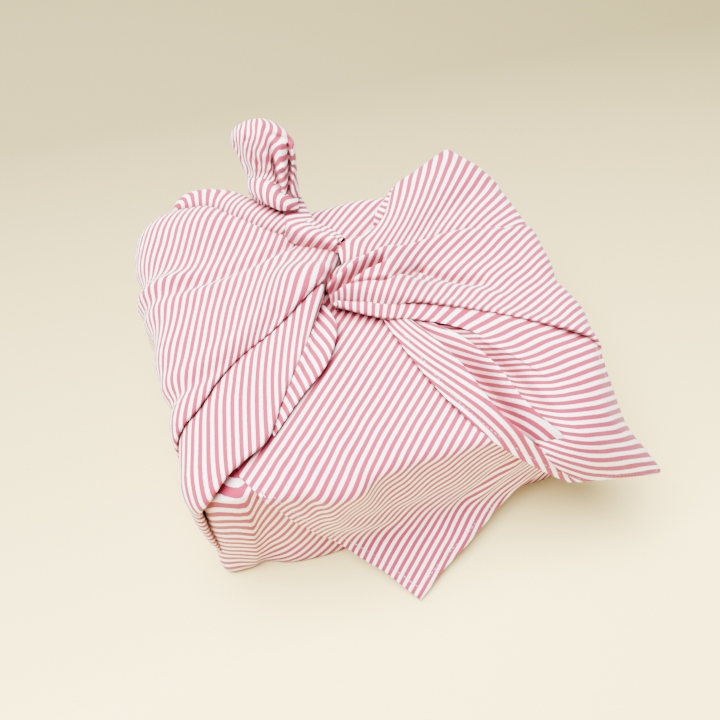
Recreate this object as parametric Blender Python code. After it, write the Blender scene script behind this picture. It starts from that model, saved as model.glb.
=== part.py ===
"""Furoshiki wrap: one square striped cloth drawn up around a flat box and tied on top.

Units are millimetres in the tables and metres in Blender. Origin at the centre of
the base, +Z up, the side with the hanging corner flap towards -Y.

The cloth is described on an unrolled plan: inside the rim a plan point lies on the
top, outside it runs down over the rounded rim and down the nearest side.
"""

import math

import bmesh
import bpy
import numpy as np

MM = 0.001

# ---------------------------------------------------------------- driving sizes
WIDTH = 222.0  # wrapped bundle, left to right
DEPTH = 172.0  # wrapped bundle, front to back
HEIGHT = 100.0  # flat part of the top above the base
RIM_R = 9.0  # rounding of the cloth over the top edges
CORNER_R = 15.0  # plan radius of the upright corners
FOOT_R = 3.0  # rounding under the sides
SHEET = 2.4  # cloth with its hem and weave, as a free hanging sheet
KNOT = (-12.0, 16.0)  # plan point under the knot

AROUND = 104  # samples around the bundle
ON_TOP = 17  # samples from knot to rim
ON_RIM = 3  # samples over the rim
ON_SIDE = 5  # samples down a side

# ------------------------------------------------------------------- fold tables
# Layers lying on the top: corner points of the area on the unrolled plan, height.
LAYERS = {
    # wing drawn up from the left side, from its tied end round to its back border
    "left_wing": (
        5.0,
        [(-4, 40), (-20, 2), (-46, -33), (-68, -60), (-84, -76), (-98, -92), (-102, -130), (-108, -230),
         (-230, -230), (-230, 230), (-100, 230), (-92, 110), (-78, 92), (-50, 66)],
    ),
    # wing drawn up from the right side
    "right_wing": (
        6.5,
        [(-12, 6), (10, -6), (27, -12), (53, -20), (85, -40), (106, -62), (104, -110), (106, -230), (230, -230),
         (230, 230), (102, 230), (92, 120), (76, 92), (42, 82), (24, 48), (-4, 36)],
    ),
}

# Folds: from the knot end to the rim end on the plan, sideways bow of the middle,
# half width at each end, height (below zero: a trough), and the steepness of the
# flank on the fold's right-hand side.
FOLD_COLUMNS = ("x0", "y0", "x1", "y1", "bow", "w0", "w1", "height", "steep")
FOLDS = {
    "knot_mound": (-34, 18, 14, 12, 0, 18, 18, 13, 1.0),
    "left_shoulder": (-40, 30, -80, 26, 0, 26, 30, 5, 1.0),
    "left_back_roll": (-14, 56, -84, 97, 2, 8, 12, 15, 0.6),
    "left_double_crease": (-30, 53, -126, 36, 4, 3, 5, -3, 1.0),
    "left_side_pull": (-104, 42, -150, 34, 0, 8, 14, 8, 1.0),
    "left_fine_crease": (-50, 4, -110, -26, 4, 4, 5, -1.5, 1.0),
    "left_long_crease": (-27, 18, -112, -60, -6, 4, 6, -3.5, 0.6),
    "left_front_border": (-28, 0, -92, -74, 3, 6, 8, 3.5, 1.0),
    "left_corner_gather": (-96, -88, -128, -190, 0, 7, 9, 3.5, 1.0),
    "front_corner_tuck": (-84, -92, -100, -180, 4, 5, 6, -3.0, 1.0),
    "front_corner_fold": (-72, -96, -92, -188, 4, 7, 9, 3.0, 1.0),
    "right_back_peak": (30, 52, 84, 82, 0, 15, 19, 14, 1.0),
    "right_back_trough": (28, 31, 98, 64, 3, 4, 6, -5, 1.0),
    "right_back_fold": (8, 24, 108, 30, 6, 7, 13, 7, 1.0),
    "right_mid_trough": (-4, 10, 76, -10, 9, 4, 7, -5, 0.7),
    "right_front_border": (-8, 4, 112, -60, 4, 6, 9, 4.5, 0.6),
    "right_side_fold": (108, 28, 190, 44, 0, 10, 16, 3.0, 1.0),
    "right_side_tuck": (108, -8, 190, -10, 0, 8, 12, -2.5, 1.0),
    "back_corner_gather": (98, 92, 126, 190, 0, 7, 9, 3.5, 1.0),
    "back_corner_tuck": (-88, 96, -102, 190, 0, 6, 8, -3.0, 1.0),
    "back_bow": (0, 110, 20, 170, 0, 60, 50, 2.5, 1.0),
}

# Flap that hangs at the front, a row for each line down it: plan x, where it leaves
# the rim, and the length that hangs.
FLAP_COLUMNS = ("x", "hang")
FLAP = [
    (-80, 9), (-75, 13), (-71, 20), (-66, 33), (-60, 49), (-53, 64), (-45, 77), (-35, 89), (-23, 101),
    (-8, 118), (9, 108), (26, 99), (44, 88), (62, 75), (80, 60), (98, 47),
]
FLAP_STEEP = 66.0  # hanging length that stays close to the front
FLAP_TURN = 26.0  # length over which it turns outwards
FLAP_LEAN = (3.0, 63.0)  # degrees from upright, before and after the turn
FLAP_BELLY = (-40.0, 14.0, 7.0)  # plan x, half width and depth of the belly at its rim

# Free end of the left wing, drawn through the knot and spread over the right front
# corner: rays from the knot, in order from its long hem to its short hem, each with
# its start, where it crosses the rim, and its end on the hem.
TAIL_COLUMNS = ("x0", "y0", "z0", "xr", "yr", "zr", "x1", "y1", "z1")
TAIL = [
    (6, -12, 102.5, 38, -85, 102.0, 71, -115, 71),
    (10, -13, 103.5, 46, -86, 104.0, 79, -116, 68),
    (12, -13, 104.0, 54, -86, 101.5, 88, -117, 62),
    (14, -13, 106.0, 63, -87, 105.0, 98, -119, 61),
    (15, -12, 105.0, 71, -87, 102.0, 108, -119, 56),
    (16, -12, 107.5, 80, -88, 106.5, 118, -120, 56),
    (17, -11, 107.0, 88, -88, 105.0, 128, -119, 52),
    (18, -10, 108.0, 96, -87, 106.5, 137, -117, 50),
    (19, -9, 107.5, 103, -82, 104.0, 130, -107, 60),
    (21, -8, 106.5, 108, -74, 104.5, 122, -92, 80),
    (23, -8, 105.5, 110, -65, 104.0, 117, -76, 94),
    (25, -8, 104.5, 110, -56, 103.5, 114, -62, 101),
]

# Standing end behind the knot: rings from its root to its crown, with centre, half
# width, half thickness, and the pinch of its section.
EAR_COLUMNS = ("x", "y", "z", "half_width", "half_thick", "turn")
EAR = [
    (-20, 50, 106, 14, 11, 20),
    (-24, 58, 115, 13, 11, 14),
    (-27, 66, 122, 12.5, 11, 10),
    (-30, 74, 129, 14, 12, 6),
    (-33, 81, 136, 18.5, 14, 2),
    (-34, 87, 142, 20.5, 15, -2),
    (-34, 94, 149, 20.0, 14.5, -6),
    (-34, 100, 155, 15.5, 11, -8),
    (-34, 103, 159, 6.0, 5, -8),
]

# Band of the knot, drawn from under the left wing to the right wing's back part.
BAND = [
    (-18, 18, 107, 15, 9, 0),
    (-8, 25, 111, 17, 9.5, 0),
    (6, 34, 112, 18, 9, 0),
    (21, 44, 111, 18.5, 8.5, 0),
    (36, 54, 110, 18.5, 8, 0),
    (50, 62, 109, 17, 7, 0),
]


# ---------------------------------------------------------------------- helpers
def smooth(a, b, x):
    t = np.clip((np.asarray(x, float) - a) / (b - a), 0.0, 1.0)
    return t * t * (3 - 2 * t)


def catmull(rows, count):
    """Rows read off a smooth curve through them, at evenly spaced parameters."""
    rows = np.asarray(rows, float)
    last = len(rows) - 1
    out = []
    for s in np.linspace(0, last, count):
        i = min(int(s), last - 1)
        t = s - i
        p0, p1, p2, p3 = (rows[min(max(j, 0), last)] for j in (i - 1, i, i + 1, i + 2))
        out.append(
            0.5 * (2 * p1 + (p2 - p0) * t + (2 * p0 - 5 * p1 + 4 * p2 - p3) * t**2
                   + (3 * p1 - p0 - 3 * p2 + p3) * t**3)
        )
    return np.array(out)


def rim_distance(x, y):
    """Distance past the flat of the top, and the outward direction there."""
    a, b = WIDTH / 2 - CORNER_R, DEPTH / 2 - CORNER_R
    qx, qy = abs(x) - a, abs(y) - b
    inner = CORNER_R - RIM_R
    if qx > 0 and qy > 0:
        length = math.hypot(qx, qy)
        return length - inner, (math.copysign(qx / length, x), math.copysign(qy / length, y))
    if qx > qy:
        return qx - inner, (math.copysign(1.0, x), 0.0)
    return qy - inner, (0.0, math.copysign(1.0, y))


def drape(x, y, off):
    """Space point of an unrolled plan point, off above the bundle's surface."""
    d, (nx, ny) = rim_distance(x, y)
    if d <= 0:
        return (x, y, HEIGHT + off)
    turn = RIM_R * math.pi / 2
    if d < turn:
        a = d / RIM_R
        reach = (RIM_R + off) * math.sin(a)
        return (x + nx * (reach - d), y + ny * (reach - d), HEIGHT - RIM_R + (RIM_R + off) * math.cos(a))
    reach = RIM_R + off - d
    return (x + nx * reach, y + ny * reach, HEIGHT - RIM_R - (d - turn))


def depth_inside(x, y, corners):
    """Signed distance to an outline, positive inside."""
    best, inside = 1e9, False
    for (x0, y0), (x1, y1) in zip(corners, corners[1:] + corners[:1]):
        dx, dy = x1 - x0, y1 - y0
        t = min(max(((x - x0) * dx + (y - y0) * dy) / (dx * dx + dy * dy), 0.0), 1.0)
        best = min(best, math.hypot(x - x0 - t * dx, y - y0 - t * dy))
        if (y0 > y) != (y1 > y) and x < x0 + (y - y0) * dx / dy:
            inside = not inside
    return best if inside else -best


def fold_height(x, y):
    total = 0.0
    for row in FOLDS.values():
        f = dict(zip(FOLD_COLUMNS, row))
        dx, dy = f["x1"] - f["x0"], f["y1"] - f["y0"]
        length = math.hypot(dx, dy)
        t = ((x - f["x0"]) * dx + (y - f["y0"]) * dy) / length**2
        side = ((x - f["x0"]) * dy - (y - f["y0"]) * dx) / length
        tc = min(max(t, 0.0), 1.0)
        past = (t - tc) * length
        side += f["bow"] * 4 * tc * (1 - tc)
        width = f["w0"] + (f["w1"] - f["w0"]) * tc
        if side > 0:
            width *= f["steep"]
        total += f["height"] * math.exp(-((side / width) ** 2) - (past / f["w1"]) ** 2)
    return total


def relief(x, y):
    """Height of the cloth above the bundle's plain surface."""
    top = 0.0
    for height, corners in LAYERS.values():
        top = max(top, height * float(smooth(-1.0, 6.0, depth_inside(x, y, corners))))
    return max(0.3, top + fold_height(x, y))


def rim_points(count):
    """Points around the edge of the flat of the top, with the outward direction."""
    inner = CORNER_R - RIM_R
    a, b = WIDTH / 2 - CORNER_R, DEPTH / 2 - CORNER_R
    corners = [(a, b, 0), (-a, b, 90), (-a, -b, 180), (a, -b, 270)]
    out, arc = [], 4
    straight = (count - 4 * arc) // 4
    for i, (cx, cy, start) in enumerate(corners):
        for k in range(arc):
            g = math.radians(start + 90 * k / (arc - 1))
            out.append((cx + inner * math.cos(g), cy + inner * math.sin(g), math.cos(g), math.sin(g)))
        nx, ny = math.cos(math.radians(start + 90)), math.sin(math.radians(start + 90))
        ex, ey, _ = corners[(i + 1) % 4]
        for k in range(1, straight + 1):
            t = k / (straight + 1)
            out.append((cx + (ex - cx) * t + inner * nx, cy + (ey - cy) * t + inner * ny, nx, ny))
    return out


def mesh_object(name, points, faces, material):
    mesh = bpy.data.meshes.new(name)
    mesh.from_pydata([tuple(c * MM for c in p) for p in points], [], faces)
    work = bmesh.new()
    work.from_mesh(mesh)
    bmesh.ops.recalc_face_normals(work, faces=work.faces)
    work.to_mesh(mesh)
    work.free()
    mesh.materials.append(material)
    obj = bpy.data.objects.new(name, mesh)
    bpy.context.scene.collection.objects.link(obj)
    return obj


def bundle():
    """The wrapped body: a fan of sections from the knot to the foot."""
    rim = rim_points(AROUND)
    n = len(rim)
    turn = RIM_R * math.pi / 2
    drop = HEIGHT - RIM_R - FOOT_R
    points = [drape(*KNOT, relief(*KNOT))]
    rings = []
    for j in range(1, ON_TOP + 1):
        t = (j / ON_TOP) ** 0.9
        rings.append([(KNOT[0] + (x - KNOT[0]) * t, KNOT[1] + (y - KNOT[1]) * t, 1.0) for x, y, _, _ in rim])
    for j in range(1, ON_RIM + 1):
        rings.append([(x + nx * turn * j / ON_RIM, y + ny * turn * j / ON_RIM, 1.0) for x, y, nx, ny in rim])
    for j in range(1, ON_SIDE + 1):
        d = turn + drop * j / ON_SIDE
        hold = 1.0 - 0.75 * (j / ON_SIDE) ** 2
        rings.append([(x + nx * d, y + ny * d, hold) for x, y, nx, ny in rim])
    for ring in rings:
        points += [drape(x, y, relief(x, y) * hold) for x, y, hold in ring]
    reach = RIM_R - FOOT_R
    points += [(x + nx * reach, y + ny * reach, 0.0) for x, y, nx, ny in rim]
    rows = len(rings) + 1
    points.append((0.0, 0.0, 0.0))
    faces = [(0, 1 + i, 1 + (i + 1) % n) for i in range(n)]
    for r in range(rows - 1):
        a, b = 1 + r * n, 1 + (r + 1) * n
        faces += [(a + i, b + i, b + (i + 1) % n, a + (i + 1) % n) for i in range(n)]
    a, centre = 1 + (rows - 1) * n, len(points) - 1
    faces += [(centre, a + (i + 1) % n, a + i) for i in range(n)]
    return points, faces


def thick_sheet(grid, thickness):
    """A closed sheet around a grid of points, half the thickness on each side."""
    grid = np.asarray(grid, float)
    rows, cols = grid.shape[:2]
    du, dv = np.gradient(grid, axis=0), np.gradient(grid, axis=1)
    normal = np.cross(du, dv)
    normal /= np.linalg.norm(normal, axis=2, keepdims=True)
    upper, lower = grid + normal * thickness / 2, grid - normal * thickness / 2
    points = np.concatenate([upper.reshape(-1, 3), lower.reshape(-1, 3)]).tolist()
    half = rows * cols

    def at(i, j):
        return i * cols + j

    faces = []
    for i in range(rows - 1):
        for j in range(cols - 1):
            faces.append((at(i, j), at(i + 1, j), at(i + 1, j + 1), at(i, j + 1)))
            faces.append(tuple(half + k for k in (at(i, j), at(i, j + 1), at(i + 1, j + 1), at(i + 1, j))))
    edge = [at(0, j) for j in range(cols)] + [at(i, cols - 1) for i in range(1, rows)]
    edge += [at(rows - 1, j) for j in range(cols - 2, -1, -1)] + [at(i, 0) for i in range(rows - 2, 0, -1)]
    for a, b in zip(edge, edge[1:] + edge[:1]):
        faces.append((a, b, half + b, half + a))
    return points, faces


def flap_point(x, s):
    """Space point of the hanging flap, s along it from inside the rim."""
    cx, half, depth = FLAP_BELLY
    belly = depth * math.exp(-(((x - cx) / half) ** 2))
    y, z, step = -DEPTH / 2 + 12.0, HEIGHT - 2.0, 2.0
    done = -14.0
    while done < s - 1e-9:
        ds = min(step, s - done)
        mid = done + ds / 2
        if mid < 0:
            lean = 90.0 - 12.0 * smooth(-14, 0, mid)
        else:
            lean = 78.0 + (FLAP_LEAN[0] - 78.0) * smooth(0, 10, mid)
            lean += (FLAP_LEAN[1] - FLAP_LEAN[0]) * smooth(FLAP_STEEP, FLAP_STEEP + FLAP_TURN, mid)
        y -= ds * math.sin(math.radians(lean))
        z -= ds * math.cos(math.radians(lean))
        done += ds
    return (x, y - belly * float(smooth(-6, 12, s)) * math.exp(-((s / 40.0) ** 2)), z)


def flap_grid():
    rows = catmull(FLAP, 3 * (len(FLAP) - 1) + 1)
    return [[flap_point(x, -14.0 + (hang + 14.0) * j / 13.0) for j in range(14)] for x, hang in rows]


def tail_grid():
    grid = []
    for row in catmull(TAIL, 3 * (len(TAIL) - 1) + 1):
        f = dict(zip(TAIL_COLUMNS, row))
        start, rim, end = ([f[c + k] for c in "xyz"] for k in "0r1")
        grid.append(np.concatenate([catmull([start, rim], 8)[:-1], ray_end(start, rim, end, 8)]))
    return grid


def ray_end(start, rim, end, count):
    """The part of a ray that bends over the rim and falls to the hem."""
    start, rim, end = (np.array(p, float) for p in (start, rim, end))
    level = rim - start
    level /= np.linalg.norm(level)
    reach = np.linalg.norm(end - rim) * 0.45
    t = np.linspace(0, 1, count)[:, None]
    elbow = rim + level * reach
    return (1 - t) ** 2 * rim + 2 * t * (1 - t) * elbow + t**2 * end


def loft(rows, columns, around=16, count=18, tilt=None):
    """Closed tube through oval rings set square to their centre line."""
    rows = catmull(rows, count)
    centres = rows[:, :3]
    along = np.gradient(centres, axis=0)
    along /= np.linalg.norm(along, axis=1, keepdims=True)
    points, faces = [], []
    for c, t, row in zip(centres, along, rows):
        side = np.cross(t, tilt)
        side /= np.linalg.norm(side)
        lift = np.cross(side, t)
        turn = math.radians(row[5])
        for k in range(around):
            g = 2 * math.pi * k / around
            u, v = row[3] * math.cos(g), row[4] * math.sin(g)
            u, v = u * math.cos(turn) - v * math.sin(turn), u * math.sin(turn) + v * math.cos(turn)
            points.append(tuple(c + side * u + lift * v))
    for r in range(count - 1):
        a, b = r * around, (r + 1) * around
        faces += [(a + k, a + (k + 1) % around, b + (k + 1) % around, b + k) for k in range(around)]
    faces.append(tuple(range(around - 1, -1, -1)))
    faces.append(tuple((count - 1) * around + k for k in range(around)))
    return points, faces


def cloth_material():
    material = bpy.data.materials.new("striped_cotton")
    material.use_nodes = True
    shader = material.node_tree.nodes["Principled BSDF"]
    shader.inputs["Base Color"].default_value = (0.86, 0.50, 0.58, 1.0)
    shader.inputs["Roughness"].default_value = 0.88
    shader.inputs["Metallic"].default_value = 0.0
    return material


def main():
    for obj in list(bpy.data.objects):
        bpy.data.objects.remove(obj, do_unlink=True)
    cloth = cloth_material()
    wrap = mesh_object("furoshiki_wrap", *bundle(), cloth)
    pieces = {
        "flap": thick_sheet(flap_grid(), SHEET),
        "free_end": thick_sheet(tail_grid(), SHEET + 0.8),
        "ear": loft(EAR, EAR_COLUMNS, tilt=np.array([0.0, -0.5, 0.86])),
        "band": loft(BAND, EAR_COLUMNS, around=16, count=10, tilt=np.array([0.0, 0.0, 1.0])),
    }
    for name, shape in pieces.items():
        helper = mesh_object(name, *shape, cloth)
        helper.hide_render = True
        helper.display_type = "WIRE"
        joint = wrap.modifiers.new("join_" + name, "BOOLEAN")
        joint.operation = "UNION"
        joint.solver = "EXACT"
        joint.object = helper


main()
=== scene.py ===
"""Looks of the furoshiki wrap: one square striped cotton cloth, drawn up round a flat box and tied on top.

All tables are in millimetres. The cloth's patches are described on an unrolled plan, as the
solid is: inside the rim a plan point lies on the top, outside it runs down over the rounded
rim, down the nearest side and round the foot. Every patch carries a stripe coordinate, found
so that the stripes keep their spacing on the folded cloth.
"""

import math

import bpy
import numpy as np
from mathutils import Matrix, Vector, noise


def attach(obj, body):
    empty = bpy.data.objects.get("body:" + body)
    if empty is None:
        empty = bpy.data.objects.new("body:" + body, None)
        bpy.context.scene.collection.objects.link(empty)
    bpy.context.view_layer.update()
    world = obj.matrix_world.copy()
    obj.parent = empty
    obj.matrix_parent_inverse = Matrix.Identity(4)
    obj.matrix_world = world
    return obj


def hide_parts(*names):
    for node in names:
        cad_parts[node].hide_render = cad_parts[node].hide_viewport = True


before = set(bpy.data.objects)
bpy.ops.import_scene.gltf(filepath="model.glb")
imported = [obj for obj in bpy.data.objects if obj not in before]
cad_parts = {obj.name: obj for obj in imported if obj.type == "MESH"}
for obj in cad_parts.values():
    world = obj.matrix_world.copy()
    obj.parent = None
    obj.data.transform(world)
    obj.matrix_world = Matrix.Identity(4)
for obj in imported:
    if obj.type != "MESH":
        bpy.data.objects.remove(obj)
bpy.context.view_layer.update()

MM = 0.001
# ------------------------------------------------------------- sizes of the bundle
WIDTH, DEPTH, HEIGHT = 222.0, 172.0, 100.0
RIM_R, CORNER_R, FOOT_R = 9.0, 15.0, 3.0
TURN = RIM_R * math.pi / 2
PITCH = 4.3  # one pink and one white stripe
HEM = 5.5  # width of the sewn hem
EDGE = 0.9  # thickness of the folded hem

# --------------------------------------------------------------------- fold tables
# From the knot end to the rim end on the plan, sideways bow of the middle, half width
# at each end, height (below zero: a trough), steepness of the right-hand flank.
FOLD_COLUMNS = ("x0", "y0", "x1", "y1", "bow", "w0", "w1", "height", "steep")
MOUND = [(-34, 18, 14, 12, 0, 18, 18, 13, 1.0)]
LEFT_FOLDS = [
    (-40, 30, -80, 26, 0, 26, 30, 5, 1.0),  # shoulder
    (-14, 56, -84, 97, 2, 8, 12, 6, 0.6),  # bed of the back roll
    (-30, 53, -126, 36, 4, 3, 5, -3.4, 1.0),  # double crease
    (-34, 44, -128, 28, 4, 4, 7, 2.2, 1.0),
    (-104, 42, -150, 34, 0, 8, 14, 8, 1.0),  # pull at the left rim
    (-50, 4, -110, -26, 4, 3, 4, -2.4, 1.0),  # fine crease
    (-52, 11, -112, -17, 4, 4, 6, 1.6, 1.0),
    (-78, 78, -112, 94, 0, 15, 15, 9.0, 1.0),  # fullness over the far left corner
    (-96, -88, -128, -190, 0, 7, 9, 2.0, 1.0),
    (-60, 66, -120, 70, 0, 9, 12, 2.0, 1.0),
    (-112, 0, -200, -6, 6, 12, 16, 2.4, 1.0),
    (-112, 64, -200, 52, -5, 9, 14, 2.2, 1.0),
    (-114, -28, -200, -40, 3, 6, 10, -1.8, 1.0),
]
RIGHT_FOLDS = [
    (28, 31, 98, 64, 3, 4, 6, -4, 1.0),
    (4, 26, 84, 27, 5, 6, 11, 5.5, 1.0),
    (30, 29.5, 84, 36, 2, 1.6, 2.4, -2.6, 1.0),
    (-12, 33, 26, 34, 0, 6, 8, 3.0, 1.0),  # first fold out of the knot
    (-12, 11.2, 14, 20, 1.6, 2.2, 2.0, -7.5, 1.0),
    (-16, 10, 12, 6.6, 0.8, 2.0, 1.8, -6.5, 1.0),
    (12, 6.6, 36.4, 15.8, 0, 1.8, 1.8, -3.6, 1.0),
    (36.4, 15.8, 68, -0.6, -1, 1.8, 2.8, -3.2, 1.0),
    (-18, 6, -2, -3, 0, 1.8, 1.8, -5.0, 1.0),
    (-16, 8, 30, -1, 3, 4, 7, 2.2, 1.0),
    (-4, 10, 76, -10, 9, 4, 7, -2.5, 0.7),
    (-8, 4, 98, -52.6, 4, 6, 8, 4.0, 0.6),
    (108, 28, 190, 44, 0, 10, 16, 2.0, 1.0),
    (108, -8, 190, -10, 0, 8, 12, -2.5, 1.0),
    (112, -34, 200, -30, 4, 10, 14, 2.4, 1.0),
    (112, 70, 200, 62, 4, 9, 14, 2.0, 1.0),
]
BACK_FOLDS = [
    (98, 92, 126, 190, 0, 7, 9, 3.5, 1.0),
    (-88, 96, -102, 190, 0, 6, 8, -3.0, 1.0),
    (0, 110, 20, 170, 0, 60, 50, 2.0, 1.0),
    (-50, 92, -66, 184, 6, 9, 14, 2.2, 1.0),
    (46, 92, 60, 184, -6, 8, 12, 1.8, 1.0),
    (-4, 34, 20, 84, 4, 6, 12, 1.6, 1.0),
]


# ------------------------------------------------------------------------- helpers
def smooth(a, b, x):
    t = np.clip((np.asarray(x, float) - a) / (b - a), 0.0, 1.0)
    return t * t * (3 - 2 * t)


def left(y, z):
    return (-207.1 + z, y)


def right(y, z):
    return (207.1 - z, y)


def front(x, z):
    return (x, -182.1 + z)


def back(x, z):
    return (x, 182.1 - z)


def corner(sx, sy, turn, z):
    """Plan point on an upright corner, turn degrees from the left or right side towards the front or back."""
    a = math.radians(turn)
    return (sx * (96 + (111.1 - z) * math.cos(a)), sy * (71 + (111.1 - z) * math.sin(a)))


def spline(rows, at):
    """Catmull-Rom through rows (first axis), read at parameters from 0 to len - 1."""
    rows = np.asarray(rows, float)
    last = len(rows) - 1
    at = np.asarray(at, float)
    i = np.clip(at.astype(int), 0, last - 1)
    t = (at - i).reshape((-1,) + (1,) * (rows.ndim - 1))
    p0, p1, p2, p3 = (rows[np.clip(i + k, 0, last)] for k in (-1, 0, 1, 2))
    return 0.5 * (2 * p1 + (p2 - p0) * t + (2 * p0 - 5 * p1 + 4 * p2 - p3) * t**2
                  + (3 * p1 - p0 - 3 * p2 + p3) * t**3)


def even(net, count):
    """count parameters along the first axis, at even mean length."""
    fine = spline(net, np.linspace(0, len(net) - 1, 12 * (len(net) - 1) + 1))
    step = np.linalg.norm(np.diff(fine[..., :3], axis=0), axis=-1)
    step = step.reshape(len(step), -1).mean(axis=1) + 1e-6
    run = np.concatenate([[0], np.cumsum(step)])
    return np.interp(np.linspace(0, run[-1], count), run, np.linspace(0, len(net) - 1, len(run))), run[-1]


def refine(net, rows_mm, cols_mm):
    """A net of control rows made fine, its points about rows_mm apart across and cols_mm along."""
    net = np.asarray(net, float)
    _, across = even(net, 2)
    at, _ = even(net, max(3, int(across / rows_mm) + 1))
    net = np.swapaxes(spline(net, at), 0, 1)
    _, along = even(net, 2)
    at, _ = even(net, max(3, int(along / cols_mm) + 1))
    return np.swapaxes(spline(net, at), 0, 1)


def fold_height(x, y, rows):
    total = np.zeros_like(x)
    for row in rows:
        f = dict(zip(FOLD_COLUMNS, row))
        dx, dy = f["x1"] - f["x0"], f["y1"] - f["y0"]
        length = math.hypot(dx, dy)
        t = ((x - f["x0"]) * dx + (y - f["y0"]) * dy) / length**2
        side = ((x - f["x0"]) * dy - (y - f["y0"]) * dx) / length
        tc = np.clip(t, 0.0, 1.0)
        past = (t - tc) * length
        side = side + f["bow"] * 4 * tc * (1 - tc)
        width = f["w0"] + (f["w1"] - f["w0"]) * tc
        width = np.where(side > 0, width * f["steep"], width)
        total += f["height"] * np.exp(-((side / width) ** 2) - (past / max(f["w1"], 4.0)) ** 2)
    return total


def drape(x, y, off):
    """Points of the unrolled plan put on the bundle, off above its surface, and the surface's own frame there."""
    a, b, inner = WIDTH / 2 - CORNER_R, DEPTH / 2 - CORNER_R, CORNER_R - RIM_R
    qx, qy = np.abs(x) - a, np.abs(y) - b
    sx, sy = np.where(x < 0, -1.0, 1.0), np.where(y < 0, -1.0, 1.0)
    wedge = (qx > 0) & (qy > 0)
    length = np.hypot(np.maximum(qx, 0), np.maximum(qy, 0)) + 1e-9
    d = np.where(wedge, length, np.maximum(qx, qy)) - inner
    nx = np.where(wedge, qx / length, qx > qy) * sx
    ny = np.where(wedge, qy / length, qx <= qy) * sy
    drop = HEIGHT - RIM_R - FOOT_R
    foot = FOOT_R * math.pi / 2
    over, side = TURN, TURN + drop
    hold = 1.0 - 0.7 * np.clip((d - over) / drop, 0, 1) ** 2
    off = np.where(d > over, off * hold, off)
    a1 = np.clip(d / RIM_R, 0, math.pi / 2)
    a2 = np.clip((d - side) / FOOT_R, 0, math.pi / 2)
    # outward reach and height of the bare surface, and its normal in the outward plane
    reach = np.where(d <= 0, d, RIM_R * np.sin(a1))
    reach = np.where(d > side, RIM_R - FOOT_R * (1 - np.cos(a2)) - np.maximum(d - side - foot, 0), reach)
    z = np.where(d <= 0, HEIGHT, HEIGHT - RIM_R + RIM_R * np.cos(a1))
    z = np.where(d > over, HEIGHT - RIM_R - np.minimum(d - over, drop), z)
    z = np.where(d > side, FOOT_R - FOOT_R * np.sin(a2), z)
    lean = np.where(d > side, math.pi / 2 + a2, a1)
    out, up = np.sin(lean), np.cos(lean)
    keep = np.where(d > side, 0.5, 1.0)
    reach_off, z_off = out * off * keep, up * off * np.where(d > side, 0.0, 1.0)
    px = x + nx * (reach - d + reach_off)
    py = y + ny * (reach - d + reach_off)
    pz = np.maximum(z + z_off, 0.35)
    point = np.stack([px, py, pz], -1)
    # the plan's x and y directions carried onto the surface
    e_out = np.stack([nx * up, ny * up, -out], -1)
    e_side = np.stack([-ny, nx, np.zeros_like(nx)], -1)
    ex = nx[..., None] * e_out - ny[..., None] * e_side
    ey = ny[..., None] * e_out + nx[..., None] * e_side
    normal = np.stack([nx * out, ny * out, up], -1)
    return point, ex, ey, normal


def normals_of(grid):
    du, dv = np.gradient(grid, axis=0), np.gradient(grid, axis=1)
    n = np.cross(du, dv)
    return n / (np.linalg.norm(n, axis=-1, keepdims=True) + 1e-12)


def crumple(grid, size, height, seed):
    """Soft unevenness of used cloth, the same on each run."""
    flat = grid.reshape(-1, 3) / size
    lift = np.array([noise.noise(Vector((p[0] + seed, p[1], p[2]))) for p in flat]).reshape(grid.shape[:2])
    return grid + normals_of(grid) * (lift * height)[..., None]


def blend_rows(x, y, rows, reach):
    """Value at a plan point from a short table of (x, y, value), nearer rows counting more."""
    total, weight = np.zeros_like(x), np.zeros_like(x)
    for rx, ry, value in rows:
        w = 1.0 / (((x - rx) ** 2 + (y - ry) ** 2) / reach**2 + 0.15) ** 2
        total += w * value
        weight += w
    return total / weight


def turn_onto(vector, a, b):
    """vector turned by the smallest rotation that takes unit a to unit b."""
    c = (a * b).sum(-1, keepdims=True)
    axis = np.cross(a, b)
    return vector * c + np.cross(axis, vector) + axis * (axis * vector).sum(-1, keepdims=True) / np.maximum(1 + c, 0.05)


def cosine_solve(right_side):
    """Solves the grid's Neumann Poisson equation by cosine transforms."""
    n, m = right_side.shape

    def dct(a, axis):
        a = np.moveaxis(a, axis, 0)
        k = len(a)
        twice = np.concatenate([a, a[::-1]])
        f = np.fft.fft(twice, axis=0)[:k]
        f = (f * np.exp(-1j * np.pi * np.arange(k) / (2 * k)).reshape((-1,) + (1,) * (a.ndim - 1))).real
        return np.moveaxis(f, 0, axis)

    def idct(a, axis):
        a = np.moveaxis(a, axis, 0)
        k = len(a)
        f = a * np.exp(1j * np.pi * np.arange(k) / (2 * k)).reshape((-1,) + (1,) * (a.ndim - 1))
        full = np.concatenate([f, np.zeros((1,) + f.shape[1:]), np.conj(f[1:][::-1])])
        return np.moveaxis(np.fft.ifft(full, axis=0).real[:k], 0, axis)

    hat = dct(dct(right_side, 0), 1)
    eig = (2 * np.cos(np.pi * np.arange(n) / n) - 2)[:, None] + (2 * np.cos(np.pi * np.arange(m) / m) - 2)[None]
    eig[0, 0] = 1.0
    hat = hat / eig
    hat[0, 0] = 0.0
    return idct(idct(hat, 0), 1)


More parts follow.
